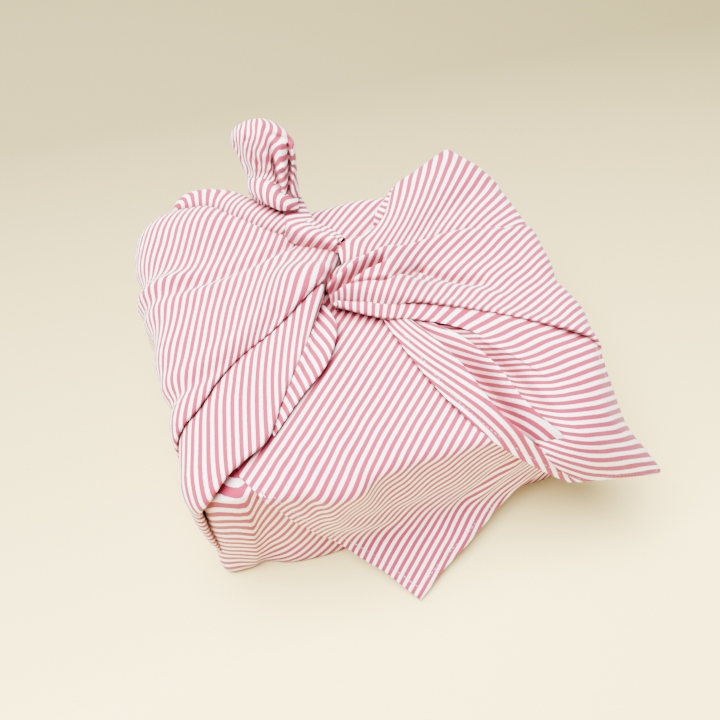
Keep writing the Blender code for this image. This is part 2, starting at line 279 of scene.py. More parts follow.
def cell_weights(grid):
    """How much each edge of the grid counts: wide short links count more, as on the cloth itself."""
    lu = np.linalg.norm(np.diff(grid, axis=0), axis=-1) + 0.05
    lv = np.linalg.norm(np.diff(grid, axis=1), axis=-1) + 0.05
    mid_v = 0.5 * (np.pad(lv, ((0, 0), (1, 0)), "edge") + np.pad(lv, ((0, 0), (0, 1)), "edge"))
    mid_u = 0.5 * (np.pad(lu, ((1, 0), (0, 0)), "edge") + np.pad(lu, ((0, 1), (0, 0)), "edge"))
    wu = 0.5 * (mid_v[1:] + mid_v[:-1]) / lu
    wv = 0.5 * (mid_u[:, 1:] + mid_u[:, :-1]) / lv
    return np.clip(wu, 0.05, 20.0), np.clip(wv, 0.05, 20.0)


def spread(du, dv, shape):
    out = np.zeros(shape)
    out[:-1] -= du
    out[1:] += du
    out[:, :-1] -= dv
    out[:, 1:] += dv
    return out


def rise_on(grid, uphill, spacing):
    """A value on the grid that rises by one each `spacing` along the unit directions `uphill`, as nearly as it can."""
    g = uphill / spacing
    su = (0.5 * (g[1:] + g[:-1]) * np.diff(grid, axis=0)).sum(-1)
    sv = (0.5 * (g[:, 1:] + g[:, :-1]) * np.diff(grid, axis=1)).sum(-1)
    wu, wv = cell_weights(grid)
    target = spread(wu * su, wv * sv, grid.shape[:2])
    value = np.zeros(grid.shape[:2])
    rest = target.copy()
    near = -cosine_solve(rest)
    step, old = near.copy(), (rest * near).sum()
    first = max(old, 1e-9)
    for _ in range(500):
        pull = spread(wu * np.diff(step, axis=0), wv * np.diff(step, axis=1), grid.shape[:2])
        rate = old / max((step * pull).sum(), 1e-12)
        value += rate * step
        rest -= rate * pull
        near = -cosine_solve(rest)
        new = (rest * near).sum()
        if new < 1e-7 * first:
            break
        step, old = near + step * new / old, new
    # where the directions can't all be met the rise comes out too slow, so it is stretched back
    wanted = (wu * su**2).sum() + (wv * sv**2).sum()
    got = (wu * np.diff(value, axis=0) ** 2).sum() + (wv * np.diff(value, axis=1) ** 2).sum()
    return value * math.sqrt(wanted / got)


def stripes_on(grid, along, pitch=1.0):
    """Stripe count across the unit directions `along`, and the count along them, both in PITCH."""
    along = along / (np.linalg.norm(along, axis=-1, keepdims=True) + 1e-12)
    across = np.cross(normals_of(grid), along)
    across /= np.linalg.norm(across, axis=-1, keepdims=True) + 1e-12
    return rise_on(grid, across, PITCH * pitch), rise_on(grid, along, PITCH)


# Angles read off the photo are angles as seen from where it was taken.
VIEWER = np.array((-69.9, -223.5, 404.0))
LEVEL, UPWARD = np.array((0.959, -0.283, 0.0)), np.array((0.236, 0.799, 0.553))


def seen(grid, angle, n):
    """Unit tangents of the surface that look `angle` degrees from level in the photo."""
    ray = grid - VIEWER
    ray /= np.linalg.norm(ray, axis=-1, keepdims=True)
    toward = -(n * ray).sum(-1, keepdims=True)
    n = n - ray * np.maximum(0.35 - toward, 0) * 1.2
    a = np.radians(angle)[..., None]
    look = np.cos(a) * LEVEL + np.sin(a) * UPWARD
    t = np.cross(n, np.cross(ray, look))
    t /= np.linalg.norm(t, axis=-1, keepdims=True) + 1e-12
    return t * np.sign((t * look).sum(-1, keepdims=True))


PATCHES = []


def add_patch(name, grid, stripes, hem=None, flip=False, lips=()):
    """lips names the ends where the hem is turned under: r0, r1 for the first and last row, c0, c1 for the columns."""
    grid = np.asarray(grid, float)
    stripe, across = stripes
    if hem is None:
        hem = np.full(grid.shape[:2], 50.0)
    under = normals_of(grid) * (1.0 if flip else -1.0)
    for lip in lips:
        axis = 0 if lip[0] == "r" else 1
        grid, stripe, across, hem, under = (np.moveaxis(a, axis, 0) for a in (grid, stripe, across, hem, under))
        if lip[1] == "0":
            grid, stripe, across, hem, under = (a[::-1] for a in (grid, stripe, across, hem, under))
        out = grid[-1] - grid[-2]
        out /= np.linalg.norm(out, axis=-1, keepdims=True) + 1e-9
        rows = [grid[-1] + out * 0.4 + under[-1] * 0.35, grid[-1] + under[-1] * EDGE, grid[-1] - out * 4.6 + under[-1] * (EDGE + 0.1)]
        grid = np.concatenate([grid, rows])
        stripe, across, hem, under = (np.concatenate([a, a[-1:], a[-1:], a[-1:]]) for a in (stripe, across, hem, under))
        if lip[1] == "0":
            grid, stripe, across, hem, under = (a[::-1] for a in (grid, stripe, across, hem, under))
        grid, stripe, across, hem, under = (np.moveaxis(a, 0, axis) for a in (grid, stripe, across, hem, under))
    PATCHES.append((name, grid, stripe, across, hem, flip))


def seen_patch(name, net, stripes, rows_mm=1.2, cols_mm=1.6, reach=0.8, rough=0.25, size=13.0, seed=0.0, pitch=1.0, hem_rows=(), lips=()):
    """A patch from control rows of points in the bundle's frame; its stripes as (row, column, angle seen in the photo)."""
    net = np.asarray(net, float)
    r, c = np.meshgrid(np.arange(net.shape[0]), np.arange(net.shape[1]), indexing="ij")
    fine = refine(np.concatenate([net, r[..., None], c[..., None]], -1), rows_mm, cols_mm)
    grid = crumple(fine[..., :3], size, rough, seed)
    n = normals_of(fine[..., :3])
    side = np.sign(((n * (VIEWER - grid)).sum(-1) * smooth(40, 100, grid[..., 2] + 1.0)).mean())
    along = seen(grid, blend_rows(fine[..., 3], fine[..., 4], stripes, reach), n * side)
    along = turn_onto(along, n * side, normals_of(grid) * side)
    counts = stripes_on(grid, along, pitch)
    hem = np.full(grid.shape[:2], 50.0)
    for end in hem_rows:
        line = {"r0": grid[:1], "r1": grid[-1:], "c0": grid[:, :1], "c1": grid[:, -1:]}[end]
        hem = np.minimum(hem, np.linalg.norm(grid - line, axis=-1))
    add_patch(name, grid, counts, hem=hem, flip=side < 0, lips=lips)
    return grid


def plan_patch(name, net, layer, folds, directions, rows_mm=1.9, cols_mm=1.9, reach=24.0, seed=0.0, rough=0.5, pitch=1.0):
    """A patch from control rows of (x, y, lift) on the plan. Rows run across, columns from the knot outwards."""
    fine = refine(net, rows_mm, cols_mm)
    x, y, lift = fine[..., 0], fine[..., 1], fine[..., 2]
    off = layer + fold_height(x, y, folds) + lift
    grid, ex, ey, normal = drape(x, y, off)
    grid = crumple(grid, 17.0, rough, seed)
    angle = np.radians(blend_rows(x, y, directions, reach))
    flat = np.cos(angle)[..., None] * ex + np.sin(angle)[..., None] * ey
    n = normals_of(grid)
    facing = np.sign((n * normal).sum(-1).mean())
    n = n * facing
    along = turn_onto(flat, normal, n)
    add_patch(name, grid, stripes_on(grid, along, pitch), flip=facing < 0)
    return grid


# ----------------------------------------------------------------- left wing, back part
# Rows from the back roll round to the long crease; columns from the knot to the foot.
LEFT_BACK = [
    [(-2, 46, -1), (-8, 45, 1.5), (-32, 61, 0), (-62, 92, 2), (-90, 104, 6), (*corner(-1, 1, 74, 84), 4), (*corner(-1, 1, 72, 45), 1), (*corner(-1, 1, 72, -5), 0)],
    [(-3, 42, -2), (-10, 40, 2.6), (-34, 55, 1.6), (-64, 84, 2.6), (-94, 96, 7), (*corner(-1, 1, 55, 84), 7), (*corner(-1, 1, 54, 45), 4), (*corner(-1, 1, 54, -5), 0)],
    [(-5, 35, -6), (-12, 34, 2), (-38, 46, 1), (-72, 64, 1), (-106, 78, 2.4), (*corner(-1, 1, 24, 84), 2.4), (*corner(-1, 1, 24, 45), 1.4), (*corner(-1, 1, 24, -5), 0)],
    [(-8, 30, -8), (-14.5, 29, 0), (-42, 36, 0), (-78, 40, 0), (-110, 42, 0), (*left(44, 84), 0), (*left(46, 45), 0), (*left(48, -5), 0)],
    [(-11, 25, -9), (-17, 24, 0), (-43, 25, 0), (-79, 20, 0), (-110, 14, 0), (*left(10, 84), 0), (*left(6, 45), 0), (*left(4, -5), 0)],
    [(-17, 20.5, -12), (-19, 19.5, 0), (-43, 15, 0.4), (-78, 0, 0.4), (-108, -18, 0.4), (*left(-24, 84), 0), (*left(-30, 45), 0), (*left(-34, -5), 0)],
    [(-19, 17, -14), (-20.5, 16, 0), (-42.5, 8, 0.9), (-77, -9, 1.0), (-105, -34, 1.0), (*left(-46, 84), 0.6), (*left(-54, 45), 0.6), (*left(-58, -5), 0)],
    [(-20.5, 14.4, -15), (-21.5, 13.4, -0.4), (-42.5, 3.6, 0.2), (-77, -14, 0.2), (-104, -41, 0.2), (*left(-53, 84), 0), (*left(-62, 45), 0), (*left(-66, -5), 0)],
    [(-21.5, 13, -15), (-22.4, 12.4, -3), (-42, 3, -1.8), (-76, -13.5, -1.6), (-103, -41, -1.6), (*left(-53, 84), -2), (*left(-62, 45), -2), (*left(-66, -5), -1)],
    [(-20, 19, -16), (-21, 19.6, -7), (-41, 10, -5), (-71, -5, -4), (-96, -28, -4), (*left(-42, 84), -4.5), (*left(-50, 45), -4), (*left(-54, -5), -2)],
]
LEFT_BACK_STRIPES = [
    (-100, 85, 62), (-80, 80, 58), (-60, 65, 57), (-28, 45, 52), (-103, 61, 55), (-99, 26, 70), (-66, 28, 64),
    (-36, 30, 58), (-92, 3, 73), (-70, 8, 70), (-51, 14, 64), (-96, -22, 70), (-79, -20, 70), (-20, 28, 55),
    (-150, 60, 58), (-150, 0, 66), (-150, -50, 66), (-200, 60, 54), (-200, 0, 60), (-200, -60, 62), (-150, 130, 52),
]

# ---------------------------------------------------------------- left wing, front part
LEFT_FRONT = [
    [(-19.4, 21, -15), (-21, 20, -8), (-42, 10, -6), (-60, 4, -5), (-78, -9, -5), (-90, -21, -5), (-102, -36, -4.6), (*left(-48, 80), -4), (*left(-54, 42), -4), (*left(-58, -5), -2)],
    [(-20.8, 15, -15), (-22, 14.6, -5), (-44, 1.5, -2.6), (-62, -5, -2), (-80, -18, -2), (-92, -31, -2), (-104, -46, -1.8), (*left(-58, 80), -1.8), (*left(-66, 42), -1.8), (*corner(-1, -1, 8, -5), -1)],
    [(-21.5, 12.4, -15), (-22.5, 12, -2.6), (-43.4, -4.4, -0.8), (-62, -18, -0.8), (-79, -33, -0.6), (-92, -47, -0.4), (-106, -62, -0.2), (*corner(-1, -1, 14, 80), 0), (*corner(-1, -1, 16, 42), 0), (*corner(-1, -1, 18, -5), 0)],
    [(-22, 10.4, -14), (-22.6, 10.2, -1), (-41, -10.5, 0.4), (-58, -31, 0.3), (-74, -49, 0.3), (-88, -60, 0.5), (-104, -72, 1), (*corner(-1, -1, 26, 80), 1.4), (*corner(-1, -1, 26, 42), 1.8), (*corner(-1, -1, 27, -5), 0)],
    [(-22.6, 8.6, -14), (-23.0, 8.2, -0.2), (-39.8, -15, 1.1), (-56.5, -39.5, 1.2), (-70.5, -61, 1.4), (-84.5, -70.5, 1.6), (-101, -80, 2), (*corner(-1, -1, 37, 80), 2.6), (*corner(-1, -1, 36, 42), 3.2), (*corner(-1, -1, 36, -5), 1)],
    [(-23, 6.9, -15), (-23.4, 6.4, -2.4), (-38.8, -16.6, 0), (-55.8, -41.6, 0.2), (-69.6, -64.2, 0.4), (-83.8, -73, 0.6), (-100.5, -83, 1), (*corner(-1, -1, 44, 80), 2), (*corner(-1, -1, 44, 42), 3), (*corner(-1, -1, 43, -5), 1)],
    [(-23.4, 6.6, -16), (-23.8, 6, -5), (-39, -16.8, -2.2), (-56, -41.6, -2), (-69.6, -64, -1.8), (-84, -72.8, -1.8), (-100.8, -82.4, -1.4), (*corner(-1, -1, 45, 80), -0.6), (*corner(-1, -1, 45, 42), 0.4), (*corner(-1, -1, 44, -5), 0)],
    [(-25, 7.4, -16), (-26, 7, -8), (-42, -13, -4.4), (-59, -37, -4), (-74, -58, -4), (-88, -66, -4), (-103, -74, -3.6), (*corner(-1, -1, 34, 80), -3), (*corner(-1, -1, 34, 42), -2.4), (*corner(-1, -1, 34, -5), -1)],
    [(-24, 16, -15), (-31, 14, -9), (-52, -4, -5.4), (-68, -20, -5.2), (-84, -38, -5.2), (-94, -48, -5.2), (-106, -58, -5), (*left(-64, 80), -4.2), (*left(-70, 42), -4), (*corner(-1, -1, 10, -5), -2)],
]
LEFT_FRONT_STRIPES = [
    (-24, 10, 62), (-30, 0, 66), (-44, -4, 70), (-53, -15, 72), (-79, -27, 74), (-66, -40, 79), (-82, -56, 81), (-92, -59, 83),
    (-92, -70, 85), (-103, -80, 84), (-120, -95, 72), (-144, -116, 60), (-171, -147, 54), (-150, -70, 68), (-200, -90, 60),
]

# ------------------------------------------------------------------- right wing, top part
RIGHT_MAIN = [
    [(-22, 27, -12), (-14, 27, -9), (-7, 27, -6), (14, 30, -6), (36, 36, -7), (66, 44, -8), (98, 42, -9), (*right(46, 84), -7), (*right(52, 45), -4), (*right(56, -5), -2)],
    [(-23, 22, -12), (-15, 22, -7), (-7, 22, -3), (12, 26, -2), (34, 32, -2), (62, 36.4, -2), (98, 33, -4), (*right(38, 84), -3), (*right(44, 45), -1), (*right(48, -5), 0)],
    [(-22, 19, -14), (-16, 19, -9), (-7, 19.5, -1.5), (12, 24, 1.5), (34, 30, 2), (62, 34.4, 1.6), (100, 31, -1.4), (*right(36, 84), -1), (*right(42, 45), 1.5), (*right(46, -5), 0.5)],
    [(-20, 16.4, -15), (-18.4, 16.2, -11), (-13, 16, -3.4), (14, 21, 1.5), (36, 26, 2.5), (64, 29.6, 1.6), (102, 26, -0.8), (*right(30, 84), -0.6), (*right(35, 45), 1.5), (*right(38, -5), 0.5)],
    [(-15, 13.8, -14), (-17.4, 13.6, -9), (-16, 13.2, -4), (14, 16, 0), (38, 18, 0), (68, 16, 0), (104, 12, 0), (*right(10, 84), 0), (*right(10, 45), 0), (*right(10, -5), 0)],
    [(-13, 11, -15), (-17, 10.6, -10), (-16.4, 10, -4.4), (14, 11, -1), (40, 8, -1), (70, 0, 0), (104, -10, 0), (*right(-12, 84), 0), (*right(-14, 45), 0), (*right(-16, -5), 0)],
    [(-12, 8, -15), (-16.6, 7.6, -10), (-16.6, 6.8, -4.4), (12, 3, 0), (40, -2, 0.5), (72, -18, 0.5), (104, -34, 0.5), (*right(-40, 84), -2.5), (*right(-44, 45), -1), (*right(-46, -5), 0)],
    [(-12, 5, -15), (-16.4, 4.8, -10), (-16.6, 3.8, -3.6), (10, -4.6, 1), (38, -11, 1.5), (72, -28, 1), (106, -52, 1), (*right(-62, 84), -4), (*corner(1, -1, 10, 45), -2), (*corner(1, -1, 12, -5), 0)],
    [(-12, 3.6, -16), (-16, 3, -11), (-16.4, 2, -5), (9, -7, -1), (37, -13.5, 0), (71, -31, -0.5), (107, -56, 0), (*right(-69, 84), -4.5), (*corner(1, -1, 34, 45), -1), (*corner(1, -1, 38, -5), 0.5)],
    [(-12, 5, -17), (-14.6, 4.6, -13), (-15, 3.4, -8), (9, -5.6, -4.4), (37, -12, -3.6), (71, -29, -3.6), (106, -53, -3.4), (*corner(1, -1, 14, 84), -1), (*corner(1, -1, 50, 45), 0), (*corner(1, -1, 54, -5), 0)],
    [(-8, 8, -18), (-11, 8, -15), (-11, 8, -10), (12, -1, -6.4), (40, -7, -6), (70, -22, -6), (102, -44, -6), (*corner(1, -1, 8, 84), -4), (*corner(1, -1, 44, 45), -3), (*corner(1, -1, 48, -5), -2)],
]
RIGHT_MAIN_STRIPES = [
    (-14, 20, 72), (0, 22, 70), (12, 25, 66), (22, 19, 54), (0, 9, 50), (12, 4, 46), (32, 22, 42), (60, 29, 34), (90, 31, 38), (104, 20, 42),
    (68, 6, 28), (84, -14, 21), (94, -28, 16), (104, -36, 24), (108, -8, 28), (52, -14, 38), (30, -4, 46), (150, 40, 44), (150, 0, 40),
    (150, -50, 36), (200, 0, 42), (200, -60, 40),
]


# ------------------------------------------------------- right wing, peak and back part
RIGHT_BACK = [  # points in the bundle's frame, from the knot over the rim and down the far corner
    [(-9, 38, 104), (0, 39, 104), (12, 42, 104), (28, 53, 104), (42, 72, 105), (57, 81, 105), (70, 87, 104), (82, 92, 101), (84, 94, 94), (82, 92, 50), (80, 90, 2)],
    [(-8.5, 41, 108), (0.5, 42.4, 109), (12.4, 44.6, 109), (27.6, 56.4, 109), (41.4, 77.4, 109.4), (56.4, 86.4, 109.6), (70.4, 94, 109.6), (84.6, 102, 107.6), (87, 104, 97), (86, 100, 55), (84, 96, 2)],
    [(-7.5, 42, 111.6), (1.5, 43.6, 113), (13, 45.6, 112.8), (28, 57, 112.6), (41.4, 78.4, 112.6), (57, 87.6, 112.6), (71.4, 96, 112), (86.4, 105, 109.4), (89.4, 106, 98), (88, 102, 55), (86, 98, 2)],
    [(-7, 40, 112.6), (3, 41.4, 114.6), (15, 44, 114.2), (31, 55, 114.6), (46, 73, 116), (61, 82, 116.4), (75.4, 90.4, 115.4), (90, 98.6, 110), (95.4, 100, 97), (94, 98, 52), (92, 94, 2)],
    [(-6.4, 36.6, 112.8), (5, 38.6, 115), (18.4, 41, 114.6), (36, 50.4, 114.6), (53, 64, 116.4), (68, 73, 117), (83, 81.4, 115.4), (98, 87, 109), (104, 88, 96), (103, 88, 50), (102, 88, 2)],
    [(-6, 33.6, 112.6), (6.4, 35.6, 114.6), (22, 38, 112.8), (42, 45.6, 112), (59, 56.4, 113), (74, 64.4, 113.4), (89, 72, 112.2), (103.4, 76, 106.6), (111, 76, 94), (111, 76, 48), (110, 76, 2)],
    [(-6, 31, 112), (8, 32.6, 113.6), (26, 34.6, 110.6), (46, 41, 108.6), (63, 50, 108.4), (77.4, 57.4, 108.4), (91.6, 64.6, 108), (105.4, 68, 103.6), (112.4, 67, 93), (113, 63, 48), (113, 60, 2)],
    [(-6, 28.6, 111), (9, 30, 112.4), (28, 32.2, 109.8), (48, 36.6, 108.4), (66, 43, 108.4), (81, 49, 108.4), (95.4, 54.4, 107.6), (108, 55.6, 103.6), (114, 54, 93), (115, 50, 48), (115, 48, 2)],
    [(-6, 25, 108), (9, 26, 109), (28, 28, 106.6), (48, 31, 105.6), (68, 35, 105.4), (84, 33.6, 105), (98, 32.6, 105.4), (110, 31, 102.6), (115, 30, 93), (115, 35, 48), (115, 33, 2)],
]
RIGHT_BACK_STRIPES = [  # row, column, angle seen
    (2, 0, 84), (2, 1, 84), (2, 2, 86), (2, 3, 104), (2, 4, 110), (2, 5, 112), (2, 6, 106), (2, 7, 94), (3, 1, 86), (3, 2, 90), (3, 3, 100), (3, 4, 106), (3, 5, 102), (3, 6, 90), (3, 7, 76),
    (4, 1, 86), (4, 2, 86), (4, 3, 88), (4, 4, 86), (4, 5, 80), (4, 6, 72), (4, 7, 64), (5, 1, 86), (5, 2, 82), (5, 3, 76), (5, 4, 70), (5, 5, 66), (5, 6, 62), (5, 7, 58),
    (6, 1, 84), (6, 2, 74), (6, 3, 64), (6, 4, 58), (6, 5, 56), (6, 6, 54), (6, 7, 54), (7, 1, 82), (7, 2, 68), (7, 3, 58), (7, 4, 54), (7, 5, 52), (7, 6, 52), (7, 7, 52),
    (2, 9, 90), (4, 9, 76), (6, 9, 64), (8, 9, 60), (8, 4, 54), (8, 6, 52),
]


# ------------------------------------------------------------------------ front flap
# A row for each line down it: plan x where it leaves the rim, and the length that hangs.
FLAP = [
    (-87, -10), (-81, 0), (-75, 12), (-67, 33), (-60, 49), (-53, 64), (-45, 77), (-35, 89), (-23, 101),
    (-8, 121), (9, 109), (26, 99), (44, 88), (62, 75), (80, 60), (98, 47),
]
FLAP_STEEP, FLAP_TURN, FLAP_LEAN = 66.0, 26.0, (3.0, 63.0)
FLAP_BELLY = (-40.0, 15.0, 8.0)
# Folds on the flap: from and to as (x, length hung), half widths, height.
FLAP_FOLD_COLUMNS = ("x0", "s0", "x1", "s1", "w0", "w1", "height")
FLAP_FOLDS = [
    (-66, -6, -60, 26, 4.0, 5.0, 1.5),
    (-54, -10, -46, 34, 4.5, 6.0, 1.9),
    (-37, -14, -26, 40, 5.0, 7.0, 1.6),
    (-17, -12, -2, 44, 5.5, 8.0, 1.3),
    (6, -8, 22, 40, 6.0, 9.0, 1.2),
    (36, -6, 56, 36, 6.0, 9.0, 1.4),
    (70, 4, 40, 66, 5.0, 6.0, 1.6),
    (64, 10, 22, 84, 4.0, 5.0, -1.5),
    (-40, 52, 20, 92, 8.0, 9.0, 1.6),
    (30, 92, 60, 66, 4.0, 5.0, 1.3),
    (-2, 114, 22, 84, 4.0, 6.0, 1.2),
    (-28, 84, -2, 60, 6.0, 9.0, -1.2),
]
FLAP_STRIPES = [  # plan x, plan y (below the rim: -86 less the length hung), angle
    (-40, -20, 45), (0, -40, 44), (-30, -60, 44), (20, -78, 42), (-60, -80, 44), (0, 40, 46), (6, 72, 38), (0, 150, 46), (70, 60, 44), (-70, 60, 46),
    (-50, -104, 50), (0, -110, 50), (50, -110, 49), (80, -110, 48), (-40, -150, 52), (0, -150, 52), (30, -150, 50), (60, -150, 48), (-20, -184, 45),
    (20, -184, 44), (-8, -205, 43),
]


def flap_profile(s):
    """(outward y, height, lean from upright) of the flap's line, s along it from the rim."""
    step = 0.5
    marks = np.arange(-14.0, 126.0, step)
    mid = marks + step / 2
    lean = np.where(mid < 0, 90.0 - 12.0 * smooth(-14, 0, mid), 78.0 + (FLAP_LEAN[0] - 78.0) * smooth(0, 10, mid)
                    + (FLAP_LEAN[1] - FLAP_LEAN[0]) * smooth(FLAP_STEEP, FLAP_STEEP + FLAP_TURN, mid))
    lean = np.radians(lean)
    y = np.concatenate([[0], np.cumsum(-np.sin(lean) * step)]) - DEPTH / 2 + 12.0
    z = np.concatenate([[0], np.cumsum(-np.cos(lean) * step)]) + HEIGHT + 0.4
    marks = np.append(marks, marks[-1] + step)
    return np.interp(s, marks, y), np.interp(s, marks, z)


def flap_patch():
    across = np.linspace(0, len(FLAP) - 1, 15 * 7 + 1)
    table = np.array(FLAP, float)
    table = np.stack([np.interp(across, np.arange(len(FLAP)), table[:, k]) for k in (0, 1)], -1)
    u = across / (len(FLAP) - 1)
    top_length = 187.1 + 74.0
    rows = []
    n_top, n_hang = 92, 74
    for k in range(len(across)):
        x_front, hang = table[k]
        x_back = -104.0 + 208.0 * u[k]
        y = np.concatenate([np.linspace(187.1, -74.0, n_top)[:-1], np.full(n_hang, -74.0)])
        s = np.concatenate([np.full(n_top - 1, -14.0), np.linspace(-14.0, hang, n_hang)])
        x = x_back + (x_front - x_back) * np.clip((77 - y) / 151.0, 0, 1)
        rows.append(np.stack([x, y, s, np.full_like(x, hang)], -1))
    rows = np.array(rows)
    x, y, s, hang = (rows[..., i] for i in range(4))
    off = 0.4 + fold_height(x, y, MOUND) * 0.28 * smooth(-80, -30, y) + fold_height(x, y, BACK_FOLDS)
    off -= 3.5 * np.exp(-(((x + 17) / 10) ** 2) - ((y - 10) / 10) ** 2)
    top, ex, ey, normal = drape(x, y, off)
    hy, hz = flap_profile(s)
    cx, half, depth = FLAP_BELLY
    belly = depth * np.exp(-(((x - cx) / half) ** 2)) * smooth(-6, 12, s) * np.exp(-((s / 42.0) ** 2))
    hung = np.stack([x, hy - belly, hz], -1)
    on_front = (y <= -73.999)[..., None]
    grid = np.where(on_front, hung, top)
    lift = np.zeros_like(x)
    for row in FLAP_FOLDS:
        f = dict(zip(FLAP_FOLD_COLUMNS, row))
        dx, ds = f["x1"] - f["x0"], f["s1"] - f["s0"]
        length = math.hypot(dx, ds)
        run = s - (y + 74.0) * (y > -74)
        t = ((x - f["x0"]) * dx + (run - f["s0"]) * ds) / length**2
        aside = ((x - f["x0"]) * ds - (run - f["s0"]) * dx) / length
        tc = np.clip(t, 0, 1)
        width = f["w0"] + (f["w1"] - f["w0"]) * tc
        lift += f["height"] * np.exp(-((aside / width) ** 2) - ((t - tc) * length / (1.6 * f["w1"])) ** 2)
    facing = normals_of(grid)
    side = np.sign(facing[..., 2][:, 60].mean())
    grid = grid + facing * side * lift[..., None]
    grid = crumple(grid, 19.0, 0.5 * side, 3.0)
    # stripes: the plan's own directions on top, the flap's own plane below the rim
    plan_y = np.where(y > -74, y, -72.0 - 14.0 - s)
    plan_y = np.where((y <= -73.999) & (s < 0), -74.0 - (s + 14.0) * 0.857, plan_y)
    angle = np.radians(blend_rows(x, plan_y, FLAP_STRIPES, 24.0))
    n = normals_of(grid) * side
    down = np.gradient(grid, axis=1)
    down /= np.linalg.norm(down, axis=-1, keepdims=True)
    ex_h = np.zeros_like(grid)
    ex_h[..., 0] = 1.0
    ex_h = ex_h - n * (ex_h * n).sum(-1, keepdims=True)
    ex_h /= np.linalg.norm(ex_h, axis=-1, keepdims=True)
    up_h = np.cross(n, ex_h)
    hung_dir = np.cos(angle)[..., None] * ex_h + np.sin(angle)[..., None] * up_h
    top_dir = turn_onto(np.cos(angle)[..., None] * ex + np.sin(angle)[..., None] * ey, normal, n)
    along = np.where(on_front, hung_dir, top_dir)
    counts = stripes_on(grid, along)
    # distance to the sewn hem, measured on the cloth near the hanging end
    end = np.stack([table[:, 0], table[:, 1]], -1)
    reach = np.full(x.shape, 50.0)
    near = (s > -13.9) & (hang - s < 45) & (hang > 12)
    for (xa, sa), (xb, sb) in zip(end[2:-1], end[3:]):
        ex2, es2 = xb - xa, sb - sa
        t = np.clip(((x - xa) * ex2 + (s - sa) * es2) / (ex2**2 + es2**2), 0, 1)
        reach = np.where(near, np.minimum(reach, np.hypot(x - xa - t * ex2, s - sa - t * es2)), reach)
    add_patch("flap", grid, counts, hem=reach, flip=side < 0, lips=("c1",))


# ----------------------------------------------------------------------- front panel
FRONT_PANEL = [  # points in the bundle's frame; columns from under the foot up and over the rim
    [(-98, -70, 0.3), (-110, -74, 1), (-111, -73, 26), (-110.5, -74, 60), (-109, -75, 91), (-100, -72, 99.4), (-84, -40, 98.4)],
    [(-98, -78, 0.3), (-112, -84, 1), (-112, -79.5, 26), (-109, -82.5, 60), (-104.4, -84.6, 91), (-97, -79, 99.4), (-78, -36, 98.4)],
    [(-97, -80, 0.3), (-108.5, -89, 1), (-106, -87.5, 26), (-103, -88.6, 60), (-99, -87.8, 91), (-92.6, -79, 99.4), (-72, -30, 98.4)],
    [(-92, -82, 0.3), (-100, -90, 1), (-98, -91, 26), (-95.4, -91.6, 60), (-93.4, -89, 91), (-88.6, -79, 99.2), (-66, -26, 98.4)],
    [(-86, -82, 0.3), (-93, -89.6, 1), (-91, -91.2, 26), (-89, -91.6, 60), (-88, -88.8, 91), (-85.6, -79, 99.0), (-62, -20, 98.4)],
    [(-82, -82, 0.3), (-89, -88.6, 1), (-88, -88.8, 26), (-86.6, -88.8, 60), (-85.6, -88, 91), (-83.4, -79, 98.8), (-58, -16, 98.4)],
    [(-76, -82, 0.3), (-83, -90, 1), (-82.6, -87.6, 26), (-82, -87.2, 60), (-81, -87, 91.6), (-79, -79, 99.2), (-54, -14, 98.4)],
    [(-66, -82, 0.3), (-73, -93.6, 1), (-72, -90, 26), (-71, -88, 60), (-70, -87.2, 91.4), (-68, -79, 98.6), (-44, -6, 98.2)],
    [(-50, -84, 0.3), (-55, -95, 1), (-55, -91, 26), (-54, -88, 60), (-53, -85.6, 89), (-52, -79, 98.2), (-32, 0, 98.2)],
    [(-34, -84, 0.3), (-36, -94.6, 1), (-36, -90, 26), (-36, -87.4, 60), (-36, -85.4, 89), (-36, -79, 98.2), (-20, 6, 98.2)],
    [(0, -84, 0.3), (0, -91, 1), (0, -88.6, 26), (0, -87, 60), (0, -85.4, 89), (0, -79, 98.2), (0, 10, 98.2)],
    [(40, -82, 0.3), (40, -88, 1), (40, -87.2, 26), (40, -86.8, 60), (40, -85.4, 89), (38, -79, 98.2), (18, 6, 98.2)],
    [(74, -82, 0.3), (75, -87.6, 1), (75, -87.6, 26), (75, -87.2, 60), (74, -85.4, 89), (68, -79, 98.2), (36, -8, 98.2)],
    [(90, -80, 0.3), (95, -87, 1), (95, -88.4, 26), (94, -87.4, 60), (92, -85, 89), (86, -77, 98.2), (52, -22, 98.2)],
    [(98, -74, 0.3), (106, -82, 1), (106, -83, 26), (105, -83, 60), (103, -84, 90), (96, -73, 98.2), (66, -32, 98.2)],
]
FRONT_STRIPES = [
    (1, 1, 8), (1, 2, 0), (1, 3, -4), (1, 4, -4), (2, 1, 14), (2, 2, 4), (2, 3, 0), (2, 4, 0), (2, 5, 4), (3, 1, 20), (3, 2, 2), (3, 3, 2), (3, 4, 2), (3, 5, 8),
    (4, 1, 14), (4, 2, 0), (4, 3, 12), (4, 4, 20), (4, 5, 24), (5, 1, 10), (5, 2, 40), (5, 3, 66), (5, 4, 58), (5, 5, 56), (6, 1, 14), (6, 2, 56), (6, 3, 76), (6, 4, 70),
    (6, 5, 57), (2, 6, 14), (4, 6, 34), (8, 6, 56), (12, 6, 50), (7, 1, 26), (7, 2, 60), (7, 3, 72), (7, 4, 70), (8, 1, 44), (8, 2, 62), (8, 3, 66), (9, 2, 60), (9, 3, 62), (10, 2, 58), (12, 2, 54), (14, 3, 50), (8, 5, 56),
    (12, 5, 50),
]


